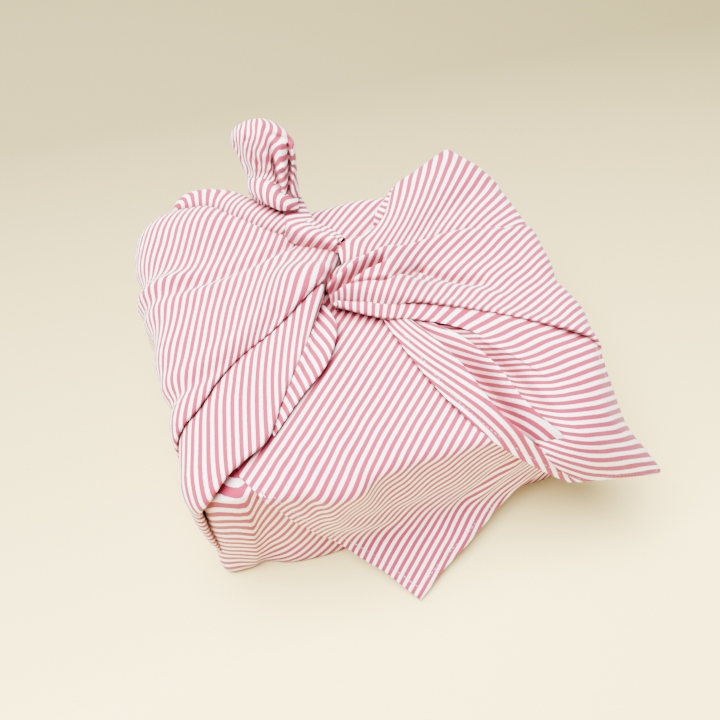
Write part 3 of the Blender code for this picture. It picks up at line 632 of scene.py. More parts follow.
# ------------------------------------------------------------------------------ roll
# Across the roll from under its lower edge to its back; heights above the bundle's top.
# The roll's middle line from the knot to the far left corner and down, and its radius there.
ROLL = [
    (-2, 43, 111, 4.0), (-12, 52, 111.4, 6.0), (-25, 62.5, 111.8, 7.4), (-38, 72.5, 112, 8.2), (-50, 83, 112.3, 8.6), (-61, 92, 112.6, 8.6),
    (-71, 97.5, 112.6, 7.6), (-79.5, 100, 111.6, 6.6), (-85.6, 101.4, 109, 5.2), (-89.6, 101.6, 103, 4.2), (-92.6, 101.4, 90, 3.6), (-96, 100, 46, 3.0), (-97, 95, 2, 2.6),
]
ROLL_ROUND = (212, 190, 166, 138, 108, 76, 44, 14, -16, -44)
ROLL_STRIPES = [  # row round the roll, station along it, angle seen
    (1, 0, 60), (3, 0, 56), (5, 0, 50), (1, 2, 60), (2, 2, 58), (3, 2, 52), (4, 2, 42), (5, 2, 34), (1, 4, 64), (2, 4, 74), (3, 4, 66), (4, 4, 46),
    (5, 4, 30), (6, 4, 16), (1, 6, 70), (2, 6, 84), (3, 6, 92), (4, 6, 84), (5, 6, 60), (6, 5, 150), (6, 6, 136), (1, 7, 84), (3, 7, 108), (5, 7, 122),
    (2, 8, 110), (4, 8, 130), (4, 10, 132), (4, 12, 128),
]
# Cloth that comes from the standing end flat over the roll to the knot.
BAND = [
    [(-36, 78, 110), (-35, 69, 110), (-33, 61.6, 110), (-30.4, 54.8, 110), (-25.4, 48.6, 110.4), (-15.6, 42.6, 111), (-6, 37, 110.6)],
    [(-31, 78, 117), (-32, 69.5, 117.5), (-31, 61, 118), (-29, 54.5, 118), (-23.5, 48.5, 117.5), (-14.5, 43, 117.5), (-6, 38, 116)],
    [(-26.5, 78, 120), (-27.5, 70, 120.6), (-27.5, 62, 120.6), (-26.2, 55.6, 120.8), (-21.5, 50, 120.4), (-13, 44.6, 119.6), (-5.6, 40, 117.6)],
    [(-22, 80, 119.4), (-22, 72.4, 119.2), (-21.4, 65, 119), (-20, 58.6, 119.2), (-17, 52.8, 119.4), (-11, 46.4, 119.2), (-5, 41.6, 117.4)],
    [(-16.6, 81.4, 116.4), (-15.8, 74.4, 115.6), (-14.8, 67.4, 115), (-13.6, 61.4, 115), (-12.4, 55.2, 115.4), (-9.4, 48.6, 116.4), (-4, 42.8, 116.4)],
    [(-15.2, 82.4, 112), (-14.4, 75.4, 111.4), (-13.4, 68.4, 111), (-12.2, 62.4, 111), (-11, 56.2, 111.4), (-8.2, 49.8, 112), (-3, 43.6, 112)],
]
BAND_STRIPES = [
    (1, 0, 40), (1, 1, 60), (1, 2, 64), (1, 3, 62), (1, 4, 60), (1, 5, 56), (2, 0, 6), (2, 1, 8), (2, 2, 12), (2, 3, 24), (2, 4, 40), (2, 5, 36),
    (3, 0, -4), (3, 1, -2), (3, 2, 0), (3, 3, 4), (3, 4, 10), (3, 5, 22), (4, 0, -6), (4, 1, -4), (4, 2, -2), (4, 3, 4), (4, 4, 10), (4, 5, 24), (3, 6, 40), (1, 6, 60),
]


def roll_net():
    spine = np.array(ROLL, float)
    centre, radius = spine[:, :3], spine[:, 3]
    tangent = np.gradient(centre, axis=0)
    tangent /= np.linalg.norm(tangent, axis=1, keepdims=True)
    outward = np.cross(tangent[0], (0, 0, 1.0))
    net = []
    for k in range(len(spine)):
        outward = outward - tangent[k] * (outward @ tangent[k])
        outward /= np.linalg.norm(outward)
        lift = np.cross(outward, tangent[k])
        turn = np.radians(ROLL_ROUND)[:, None]
        net.append(centre[k] + radius[k] * (np.cos(turn) * outward + np.sin(turn) * lift))
    return np.stack(net, 1)


# The rolled back border of the right wing, with the small hollow where it leaves the knot.
CURL = [
    [(14, 36, 110), (15, 43, 108), (19.5, 52.6, 107.6), (24.4, 61.6, 108.4), (32, 71, 109), (39.4, 79.4, 109.6)],
    [(15.6, 37, 111.6), (16.6, 44.4, 110.4), (20.4, 54.4, 110.4), (25.2, 62.4, 110.8), (33.2, 71.4, 111), (40.6, 79.8, 111)],
    [(18.4, 37.4, 109.4), (18.6, 43, 106), (22.6, 54, 109.4), (27.4, 61.4, 110.8), (34.8, 70.4, 111.6), (41.6, 79.2, 111.8)],
    [(21.4, 37.6, 109.4), (22, 43, 106.6), (24.8, 53.6, 109), (29.4, 60.4, 110.6), (36.4, 69.4, 111.4), (42.6, 78.2, 111.8)],
]
CURL_STRIPES = [(0, 0, 60), (1, 1, 30), (2, 1, -10), (1, 2, -14), (2, 2, -30), (1, 3, -24), (2, 3, -24), (1, 4, -10), (2, 4, -4), (2, 5, 10)]

# --------------------------------------------------------- hem strip under the left wing
LENS = [  # points in the bundle's frame, from under the wing's border out to the free edge
    [(-27, 4, 104), (-33, -3, 103.6), (-41, -16, 103), (-49, -29, 102.6), (-58, -42, 102.4), (-68, -60, 102)],
    [(-26, 7, 105), (-29.5, 0.5, 104.6), (-38, -13, 104.4), (-46.5, -27, 104.2), (-55.5, -40.5, 103.6), (-67.5, -59, 102.4)],
    [(-25.5, 8.5, 106), (-28, 2, 106.2), (-35.5, -13, 105.4), (-43.5, -27, 105), (-53, -40.5, 104.4), (-67, -60.5, 102.8)],
    [(-25, 9, 106), (-26.5, 2.5, 105.6), (-33, -13, 104), (-41, -28, 103.8), (-51.5, -42, 103.6), (-66.8, -61.5, 102.6)],
    [(-24.5, 9, 106.2), (-23.5, 2, 106.4), (-27.5, -12, 105.6), (-37, -28, 104.8), (-50, -43.5, 103.8), (-66.6, -62, 102.6)],
    [(-24.2, 8.6, 106.4), (-21.4, 1, 106.8), (-22.6, -11.5, 106), (-32.5, -29, 105), (-48.5, -44.5, 103.8), (-66.4, -62.5, 102.6)],
    [(-24, 8, 106.0), (-20.4, 0.2, 105.8), (-20, -12, 105), (-30.6, -30.4, 104), (-47.6, -45, 103), (-66.4, -63, 102.2)],
    [(-24.4, 8.4, 104.6), (-21.4, 1, 103.6), (-21.6, -11, 103), (-32.4, -28.6, 102.4), (-49, -43.4, 102), (-67, -62, 101.6)],
]
LENS_STRIPES = [
    (2, 0, 118), (2, 1, 125), (2, 2, 130), (2, 3, 128), (2, 4, 130), (2, 5, 118), (3, 2, 118), (3, 3, 112), (3, 4, 120),
    (4, 1, 128), (4, 2, 128), (4, 3, 118), (5, 1, 126), (5, 2, 118), (5, 3, 98), (5, 4, 104), (6, 1, 122), (6, 2, 98), (6, 3, 88), (6, 4, 92), (6, 5, 100),
]

# -------------------------------------------------------------------------- free end
# Rows of points in the bundle's frame, from the knot over the rim to the hanging hem. The free
# edge comes down the first row, and the two pleats' folds lie over the pockets to their right.
HEM_STRIP = [
    [(6.5, -8.5, 103), (11.5, -31, 103), (18, -54.5, 103), (25, -74, 103.5), (37, -93.5, 98), (54.5, -106.5, 86), (74.5, -116, 71)],
    [(10, -10, 104.2), (15.5, -32, 104.2), (22, -56, 104.8), (29, -76, 105), (41.5, -94, 99.6), (59, -107, 87.2), (76, -116.3, 71)],
    [(14, -12, 105.6), (21.5, -33.6, 107), (27.4, -57.6, 109.4), (33.8, -78.6, 108.8), (45.6, -95, 102.4), (63, -108, 88), (77.6, -116.6, 71)],
    [(18, -14, 106.4), (27, -35.4, 110), (33.6, -57.4, 114), (39.8, -79.8, 112), (49.6, -96.4, 104.6), (66, -108.8, 88.6), (79, -116.8, 70.8)],
    [(18.8, -13.6, 104.8), (27.6, -34.4, 107.4), (33.6, -56, 110), (39.8, -78, 108.4), (50.4, -95.4, 102), (67.2, -108.4, 86.4), (79, -116.4, 70.4)],
    [(14, -12, 102.4), (21.6, -32, 102.4), (29.4, -52.8, 102), (35.6, -75, 101.4), (46.4, -93.6, 96.4), (63.4, -107.4, 83), (76.6, -115.4, 70)],
]
HEM_STRIP_STRIPES = [
    (0, 0, -57), (0, 1, -54), (0, 2, -49), (0, 3, -42), (0, 4, -36), (0, 5, -32), (0, 6, -30), (2, 0, -54), (2, 1, -51), (2, 2, -46), (2, 3, -40), (2, 4, -35), (2, 5, -32), (2, 6, -30),
    (3, 0, -52), (3, 1, -48), (3, 2, -44), (3, 3, -39), (3, 4, -34), (3, 5, -31), (3, 6, -30),
]
PLEAT_ONE = [
    [(14, -11, 102), (21, -31.5, 102), (30, -53, 101.8), (36.6, -75, 101.6), (46.4, -94, 95.8), (62.6, -106.6, 82), (75, -114.6, 69.4)],
    [(19.4, -13.4, 102.8), (27, -33, 102.6), (37, -55, 101.6), (43, -76, 101.4), (52, -94.6, 96), (67, -107, 83), (80, -116, 68.8)],
    [(22, -15, 104), (31.4, -34.4, 103.6), (42.6, -59.6, 102), (48, -78.6, 102), (56.4, -97, 98), (70.5, -108.4, 84.6), (86, -117.2, 67.4)],
    [(26, -18, 105), (36.4, -36, 106), (45.8, -62.4, 106), (51, -81, 106.4), (61.6, -98.6, 100.8), (76.5, -109.4, 85.2), (92, -117.8, 66)],
    [(30.4, -22, 105.8), (40.4, -37.6, 108), (48.2, -62.6, 111.6), (53.8, -83, 110), (66, -99.8, 102.4), (82.6, -110, 84.6), (100.5, -118.6, 64)],
    [(33.4, -24.6, 106), (43, -38.8, 108.6), (50.4, -62.8, 114), (56.4, -83.8, 111.6), (68.6, -100.8, 102.6), (88, -111, 83.4), (108.5, -119, 62)],
    [(34.6, -24.2, 104.6), (43.6, -38, 106.4), (50.6, -61.6, 110.4), (56.4, -82.4, 108.4), (69.6, -99.8, 100.8), (89, -110.4, 82.2), (108, -118.4, 62)],
    [(30, -22.2, 102.4), (38, -36.4, 102.6), (47, -59, 102), (52.4, -80.4, 102), (65, -98, 97), (85.6, -109.4, 80), (103, -116.8, 63)],
]
PLEAT_ONE_STRIPES = [
    (1, 0, -40), (1, 1, -40), (1, 2, -30), (1, 3, -26), (1, 4, -34), (1, 5, -32), (1, 6, -26), (3, 0, -15), (3, 1, -10), (3, 2, -10), (3, 3, -14), (3, 4, -24),
    (3, 5, -20), (3, 6, -14), (5, 0, -6), (5, 1, -8), (5, 2, -8), (5, 3, -16), (5, 4, -18), (5, 5, -9), (5, 6, -4),
]
MAIN_END = [
    [(-14, 7, 102.4), (6, -9, 102.2), (19, -15, 102.4), (31, -21, 102.4), (38, -36, 102.4), (46.6, -58.4, 101.6), (52.4, -80.4, 101.6), (58, -98.6, 96.6), (63.6, -109.4, 89.2), (79.6, -117.6, 71.8)],
    [(-14.4, 7, 103.2), (5.6, -9.4, 103), (20, -15.6, 103), (35.5, -23, 103.2), (43.6, -38.4, 102.8), (54.4, -58, 101.6), (60, -80.4, 101.8), (67.4, -100.6, 99.6), (76, -112, 89), (95, -119.4, 68.4)],
    [(-14.6, 7, 104), (5.4, -9.6, 103.6), (21, -16, 103.6), (39, -24.5, 104), (47, -40, 104), (60.4, -62.6, 102), (66, -82.4, 103), (76, -103, 101.4), (91, -113.2, 85.8), (114, -120.2, 62)],
    [(-14.8, 7, 105), (5.2, -9.8, 104.6), (22, -16.6, 104.6), (42, -26.5, 104.8), (51, -42, 106), (65.4, -66, 106.2), (71.6, -85.6, 106.4), (84, -103.5, 100.2), (104.5, -112, 80.4), (136.5, -118.6, 50)],
    [(-15.6, 2.0, 106.4), (4.6, -10.6, 105.6), (23.6, -17.6, 105.4), (45.5, -29, 105.6), (53.5, -44, 108), (69.5, -68, 108.6), (77.5, -88.5, 106.8), (89, -100, 99.8), (106, -106, 84.6), (130.5, -110, 60)],
    [(-15.6, 1.0, 108.8), (4.2, -11.2, 107.8), (24.6, -18.4, 107), (47.5, -33, 107.4), (59, -48.6, 109.6), (73.5, -70.4, 110.2), (83, -86, 108.6), (91.5, -93, 103.8), (102.4, -98, 94), (119.6, -98.6, 74)],
    [(-15.4, 1.8, 110.6), (5.4, -9.6, 109.6), (28.6, -17.6, 108.4), (54.5, -30, 108.2), (66, -44, 109), (79.5, -62, 109), (89.5, -77, 107.5), (96, -84.5, 104), (103, -88, 98), (115.4, -88, 84)],
    [(-15.4, 3.0, 111.2), (8, -7.8, 111), (33, -15.4, 108.6), (60, -26.5, 108), (73, -39, 108.6), (87, -55, 108), (97.5, -66.5, 106.5), (102.5, -71.5, 104.5), (106.6, -73.5, 101), (112.6, -74, 95)],
    [(-15.2, 4.2, 110), (10.4, -5.8, 111.4), (38, -12.6, 107.8), (64, -22.6, 107.4), (77, -31.6, 107.6), (93.4, -41.6, 107), (103, -47.5, 105.6), (108, -50, 104.5), (110, -53, 103.4), (114, -57.4, 99)],
    [(-15, 5.6, 106), (12, -3, 108.6), (40, -8.6, 105), (66.6, -18, 104.6), (80, -26.6, 104.8), (96, -36.4, 104), (105, -42.4, 102.8), (109, -45, 102), (110, -47, 101), (113.6, -50, 96)],
]
MAIN_END_STRIPES = [
    (1, 3, -20), (2, 3, -8), (3, 3, 2), (4, 3, 10), (1, 4, -14), (2, 4, -10), (3, 4, -6), (4, 4, 0), (1, 5, 0), (2, 5, 6), (3, 5, 2), (4, 5, -2), (1, 6, -24), (2, 6, -8), (3, 6, 4), (4, 6, 6),
    (0, 7, -36), (1, 7, -26), (2, 7, -10), (3, 7, 4), (4, 7, 10), (0, 8, -38), (1, 8, -22), (2, 8, -6), (3, 8, 3), (4, 8, 10), (0, 9, -26), (1, 9, -8), (2, 9, 1), (3, 9, 6), (4, 9, -6),
    (5, 4, 8), (5, 5, 10), (5, 6, 10), (5, 7, 12), (5, 8, 12), (5, 9, 4), (6, 3, 32), (6, 4, 30), (6, 5, 26), (6, 6, 22), (6, 7, 20), (6, 8, 20), (6, 9, 14), (7, 3, 36), (7, 4, 30),
    (7, 5, 26), (7, 6, 22), (7, 7, 20), (7, 8, 18), (7, 9, 14), (8, 3, 34), (8, 5, 24), (8, 7, 18), (8, 9, 14), (5, 0, 100), (6, 0, 96), (7, 0, 90), (5, 1, 96), (6, 1, 92), (7, 1, 88), (8, 1, 80),
    (5, 2, 50), (6, 2, 60), (7, 2, 56), (8, 2, 50), (2, 1, 60),
]

# ------------------------------------------------------------------- standing end
# It leans back, so it is drawn in a frame of its own: along LEVEL, along UPWARD, and out
# towards the front above. Height up it, left and right edges, half thickness.
EAR_ROOT, EAR_OUT = np.array((-28.6, 83.0, 119.3)), np.array((-0.098, -0.730, 0.678))
EAR_TIP_LEAN = 0.42
EAR = [
    (-6, -12, 8, 6), (-1, -17, 11, 8.5), (5.6, -18.4, 10.8, 9), (10, -18.8, 10.2, 9.2), (14, -21, 9.9, 9.4), (18, -23, 9.6, 10), (22.4, -25, 9.3, 11), (27, -27.4, 9.1, 12),
    (31, -29.6, 8.5, 12.6), (34.8, -30.2, 6.4, 12.4), (38, -28.8, 3.6, 11.4), (41, -26.6, 0.6, 9.4), (43.7, -22, -3.4, 6.4), (45.6, -16.6, -7.6, 2.6), (46.2, -12.6, -11.6, 0.4),
]
EAR_FOLD_COLUMNS = ("a0", "b0", "a1", "b1", "w0", "w1", "height")
EAR_FOLDS = [
    (4.4, 29, 5.4, 18, 0.8, 0.9, -5.0), (5.4, 18, 4.8, -1, 0.9, 0.9, -5.0),  # groove beside the hem strip
    (0.6, 30, 1.2, 16, 3.2, 3.2, 3.6), (1.2, 16, 2.4, -2, 3.0, 2.6, 3.4),  # tube
    (7.6, 30, 7.8, 0, 1.5, 1.6, 2.0),
    (-6.0, 27, -4.4, 19.6, 1.2, 1.0, -1.8), (-4.4, 19.6, -0.6, 5, 1.0, 1.0, -4.2),  # between lobe and tube
    (-27, 30, -18.4, 14, 1.6, 1.8, -2.0), (-21, 33, -10.6, 14, 1.4, 1.6, -1.6), (-24, 38, -15, 15, 2.4, 2.0, 1.4),
    (-14, 43, -7, 16, 4.0, 3.4, 2.4), (-9, 40, -5, 30, 2.0, 1.6, -1.0), (-4, 36, 4, 33, 1.6, 1.8, -1.6), (-10, 20, -6, 13, 2.4, 2.4, -1.0),
]
EAR_STRIPES = [  # place across, place up, angle seen
    (-27, 35, 92), (-20, 38, 96), (-19, 24, 100), (-16, 18, 114), (-14.6, 35, 70), (-10.6, 30, 68), (-6.2, 27, 72), (-10.6, 18, 108), (-7.3, 21, 82), (-13, 21, 114),
    (-10.6, 43.6, 60), (-3.4, 41, 42), (2.2, 37, 24), (1.2, 27, 4), (3.6, 26, -6), (1.2, 18, 0), (2.2, 7, 0), (-2.8, 27, 56), (-2.2, 32, 42), (-1.6, 18, 40), (7.8, 24, 8),
    (7.8, 14, 6), (8.6, 4, -50), (-23, 27, 100), (-22, 18, 122), (-1.0, 12, 30), (0.6, 1, 4), (-14, 8, 80), (-10, 2, 100),
]
# The cloth's turn round the foot of the standing end, in the same frame: across, up, out.
COLLAR = [
    [(-19.6, 13.4, 2), (-18.4, 14.6, 9), (-13, 14.4, 13), (-7.2, 12.2, 14), (-2.2, 7.6, 14), (1.6, 3, 13.4), (6, 0, 12), (10.4, -1, 8)],
    [(-20.2, 10.6, 3), (-18.8, 11, 11), (-13, 11, 16), (-7.2, 9, 17), (-2.2, 4.6, 17), (1.6, 0.6, 16), (6, -1.6, 14), (10.6, -2.4, 9)],
    [(-20.4, 6.6, 4), (-18.6, 6.8, 12), (-13.4, 6, 17.4), (-8, 4, 18.6), (-2.6, 0.4, 18.6), (1.6, -2.4, 17.4), (6, -4, 15), (10.8, -4.6, 9)],
    [(-19.6, 2.8, 4), (-17.8, 2.6, 11.6), (-13.2, 0.6, 16.6), (-8.2, -1.8, 18), (-3, -4.2, 18), (1.2, -5.8, 17), (6, -6.4, 14.6), (11, -6.6, 9)],
    [(-18.6, 0.8, 3), (-16.8, 0.4, 9), (-13, -2, 13), (-8.2, -5, 14.6), (-3.2, -7.6, 14.8), (1, -9, 14), (6, -8.6, 12.6), (11, -8.4, 8)],
    [(-16.6, 1.6, 0), (-15, 0.6, 4), (-11.6, -1, 8), (-7.4, -4, 10), (-3, -6.4, 10.4), (1, -8, 10), (6, -7.6, 9), (10.4, -7.4, 5)],
]
COLLAR_STRIPES = [
    (0, 1, 66), (0, 2, 56), (0, 3, 46), (0, 4, 40), (0, 5, 24), (1, 1, 78), (1, 2, 68), (1, 3, 54), (1, 4, 44), (1, 5, 22), (2, 1, 94), (2, 2, 92), (2, 3, 84), (2, 4, 70),
    (2, 5, 40), (3, 1, 112), (3, 2, 116), (3, 3, 108), (3, 4, 98), (3, 5, 70), (4, 2, 128), (4, 3, 126), (4, 4, 122), (4, 5, 90), (1, 6, 2), (2, 6, 4), (3, 6, 4), (2, 7, 0),
]


def on_ear(a, b, c):
    scale = 1.0 - c / 420.0
    return EAR_ROOT + (a * scale)[..., None] * LEVEL + (b * scale)[..., None] * UPWARD + c[..., None] * EAR_OUT


def ear_patch():
    at, _ = even(np.array(EAR)[:, :3], 92)
    rows = spline(EAR, at)
    b, left_edge, right_edge, thick = rows.T
    round_by = np.linspace(0, 2 * math.pi, 132)[:, None]
    mid, half = 0.5 * (left_edge + right_edge), 0.5 * (right_edge - left_edge)
    a = mid - half * np.cos(round_by)
    bulge = np.sin(round_by)
    out = thick * np.sign(bulge) * np.abs(bulge) ** 0.8
    b = np.broadcast_to(b, a.shape)
    front = smooth(0.0, 0.5, bulge)
    rise = np.zeros_like(a)
    for row in EAR_FOLDS:
        f = dict(zip(EAR_FOLD_COLUMNS, row))
        da, db = f["a1"] - f["a0"], f["b1"] - f["b0"]
        length = math.hypot(da, db)
        t = ((a - f["a0"]) * da + (b - f["b0"]) * db) / length**2
        tc = np.clip(t, 0, 1)
        aside = ((a - f["a0"]) * db - (b - f["b0"]) * da) / length
        width = f["w0"] + (f["w1"] - f["w0"]) * tc
        rise += f["height"] * np.exp(-((aside / width) ** 2) - ((t - tc) * length / 2.0) ** 2)
    back = -0.8 * np.cos(a / 2.6 + 0.6) * smooth(0.0, 0.5, -bulge)
    c = 4.0 + EAR_TIP_LEAN * b + out + rise * front - back
    grid = on_ear(a, b, c)
    grid[0] = grid[-1] = 0.5 * (grid[0] + grid[-1])
    grid = crumple(grid, 7.0, 0.45, 21.0)
    n = normals_of(grid)
    side = np.sign((n[30:100] * EAR_OUT).sum(-1)[:35].mean())
    plain = on_ear(a, b, 4.0 + EAR_TIP_LEAN * b + out)
    angle = blend_rows(a, b, EAR_STRIPES, 3.4)
    base = normals_of(plain) * side
    along = seen(plain, angle, base)
    along = turn_onto(along, base, n * side)
    add_patch("standing_end", grid, stripes_on(grid, along, 0.82), flip=side < 0)


# ------------------------------------------------------------------- build the patches
LEFT = MOUND + LEFT_FOLDS
RIGHT = MOUND + RIGHT_FOLDS
plan_patch("left_back", LEFT_BACK, 5.0, LEFT, LEFT_BACK_STRIPES, seed=1.0, pitch=0.9)
plan_patch("left_front", LEFT_FRONT, 5.0, LEFT, LEFT_FRONT_STRIPES, seed=2.0, pitch=0.96)
plan_patch("right_main", RIGHT_MAIN, 6.5, RIGHT, RIGHT_MAIN_STRIPES, seed=4.0, rows_mm=1.3, pitch=0.94)
seen_patch("right_back", RIGHT_BACK, RIGHT_BACK_STRIPES, seed=5.0, rows_mm=1.8, cols_mm=1.9, rough=0.35, size=16.0, pitch=0.94)
seen_patch("front_panel", FRONT_PANEL, FRONT_STRIPES, seed=6.0, rows_mm=1.9, cols_mm=1.9, rough=0.5, size=16.0)
seen_patch("roll", roll_net(), ROLL_STRIPES, seed=7.0, rows_mm=0.8, cols_mm=1.4, rough=0.4, pitch=0.82)
seen_patch("band", BAND, BAND_STRIPES, seed=11.0, rows_mm=0.8, cols_mm=1.0)
seen_patch("curl", CURL, CURL_STRIPES, seed=12.0, rows_mm=0.8, cols_mm=1.0)
collar = np.array(COLLAR, float)
seen_patch("collar", on_ear(collar[..., 0], collar[..., 1], collar[..., 2]), COLLAR_STRIPES, seed=13.0, rows_mm=0.7, cols_mm=0.9)
seen_patch("under_hem", LENS, LENS_STRIPES, seed=8.0, rows_mm=0.7, cols_mm=1.0, rough=0.15, pitch=1.08)
seen_patch("hem_strip", HEM_STRIP, HEM_STRIP_STRIPES, seed=9.0, rows_mm=0.8, cols_mm=1.5, pitch=0.97, hem_rows=("r0",), lips=("r0",))
seen_patch("pleat", PLEAT_ONE, PLEAT_ONE_STRIPES, seed=9.5, rows_mm=1.0, cols_mm=1.5, pitch=0.92, hem_rows=("c1",))
seen_patch("main_end", MAIN_END, MAIN_END_STRIPES, seed=10.0, rows_mm=1.1, cols_mm=1.6, pitch=1.0, hem_rows=("c1",), lips=("c1",))
flap_patch()
ear_patch()


def bottom_patch():
    x, y = np.meshgrid(np.linspace(-106, 106, 44), np.linspace(-81, 81, 34), indexing="ij")
    grid = np.stack([x, y, np.full_like(x, 0.15)], -1)
    along = np.zeros_like(grid)
    along[..., 0] = along[..., 1] = math.sqrt(0.5)
    add_patch("bottom", grid, stripes_on(grid, along), flip=True)


bottom_patch()

# Layers that the outer ones hide: the near corner of the cloth lies over the whole top and
# down the far side, and each upright corner has cloth folded in under the wings.
TONGUE = [
    [(-98, -76, -2.2), (-98, -20, -2.2), (-96, 40, -2.2), (-92, 76, -2.2), (*back(-86, 60), -2.2), (*back(-66, 14), -1.6)],
    [(-40, -78, -2.2), (-40, -20, -2.2), (-40, 40, -2.2), (-38, 78, -2.2), (*back(-34, 60), -2.2), (*back(-26, 10), -1.6)],
    [(40, -78, -2.2), (40, -20, -2.2), (40, 40, -2.2), (38, 78, -2.2), (*back(34, 60), -2.2), (*back(26, 10), -1.6)],
    [(98, -76, -2.2), (98, -20, -2.2), (96, 40, -2.2), (92, 76, -2.2), (*back(86, 60), -2.2), (*back(66, 14), -1.6)],
]
plan_patch("tongue", TONGUE, 0.0, [], [(0, 0, 45)], rows_mm=6.0, cols_mm=6.0, rough=0.1)
for sx in (-1, 1):
    side_at = left if sx < 0 else right
    for sy in (-1, 1):
        end_at = front if sy < 0 else back
        net = [
            [(*end_at(sx * 46, 90), -2.0), (*end_at(sx * 48, 50), -2.0), (*end_at(sx * 50, 4), -1.2)],
            [(*end_at(sx * 84, 92), -1.6), (*end_at(sx * 88, 50), -1.6), (*end_at(sx * 90, 4), -1.0)],
            [(*corner(sx, sy, 45, 92), -1.6), (*corner(sx, sy, 45, 50), -1.6), (*corner(sx, sy, 45, 4), -1.0)],
            [(*side_at(sy * 60, 92), -1.6), (*side_at(sy * 56, 50), -1.6), (*side_at(sy * 50, 4), -1.0)],
            [(*side_at(sy * 6, 88), -1.6), (*side_at(sy * 4, 46), -1.6), (*side_at(sy * 2, 4), -1.0)],
        ]
        plan_patch("gusset", net, 0.0, [], [(0, 0, 45)], rows_mm=4.0, cols_mm=6.0, rough=0.1)


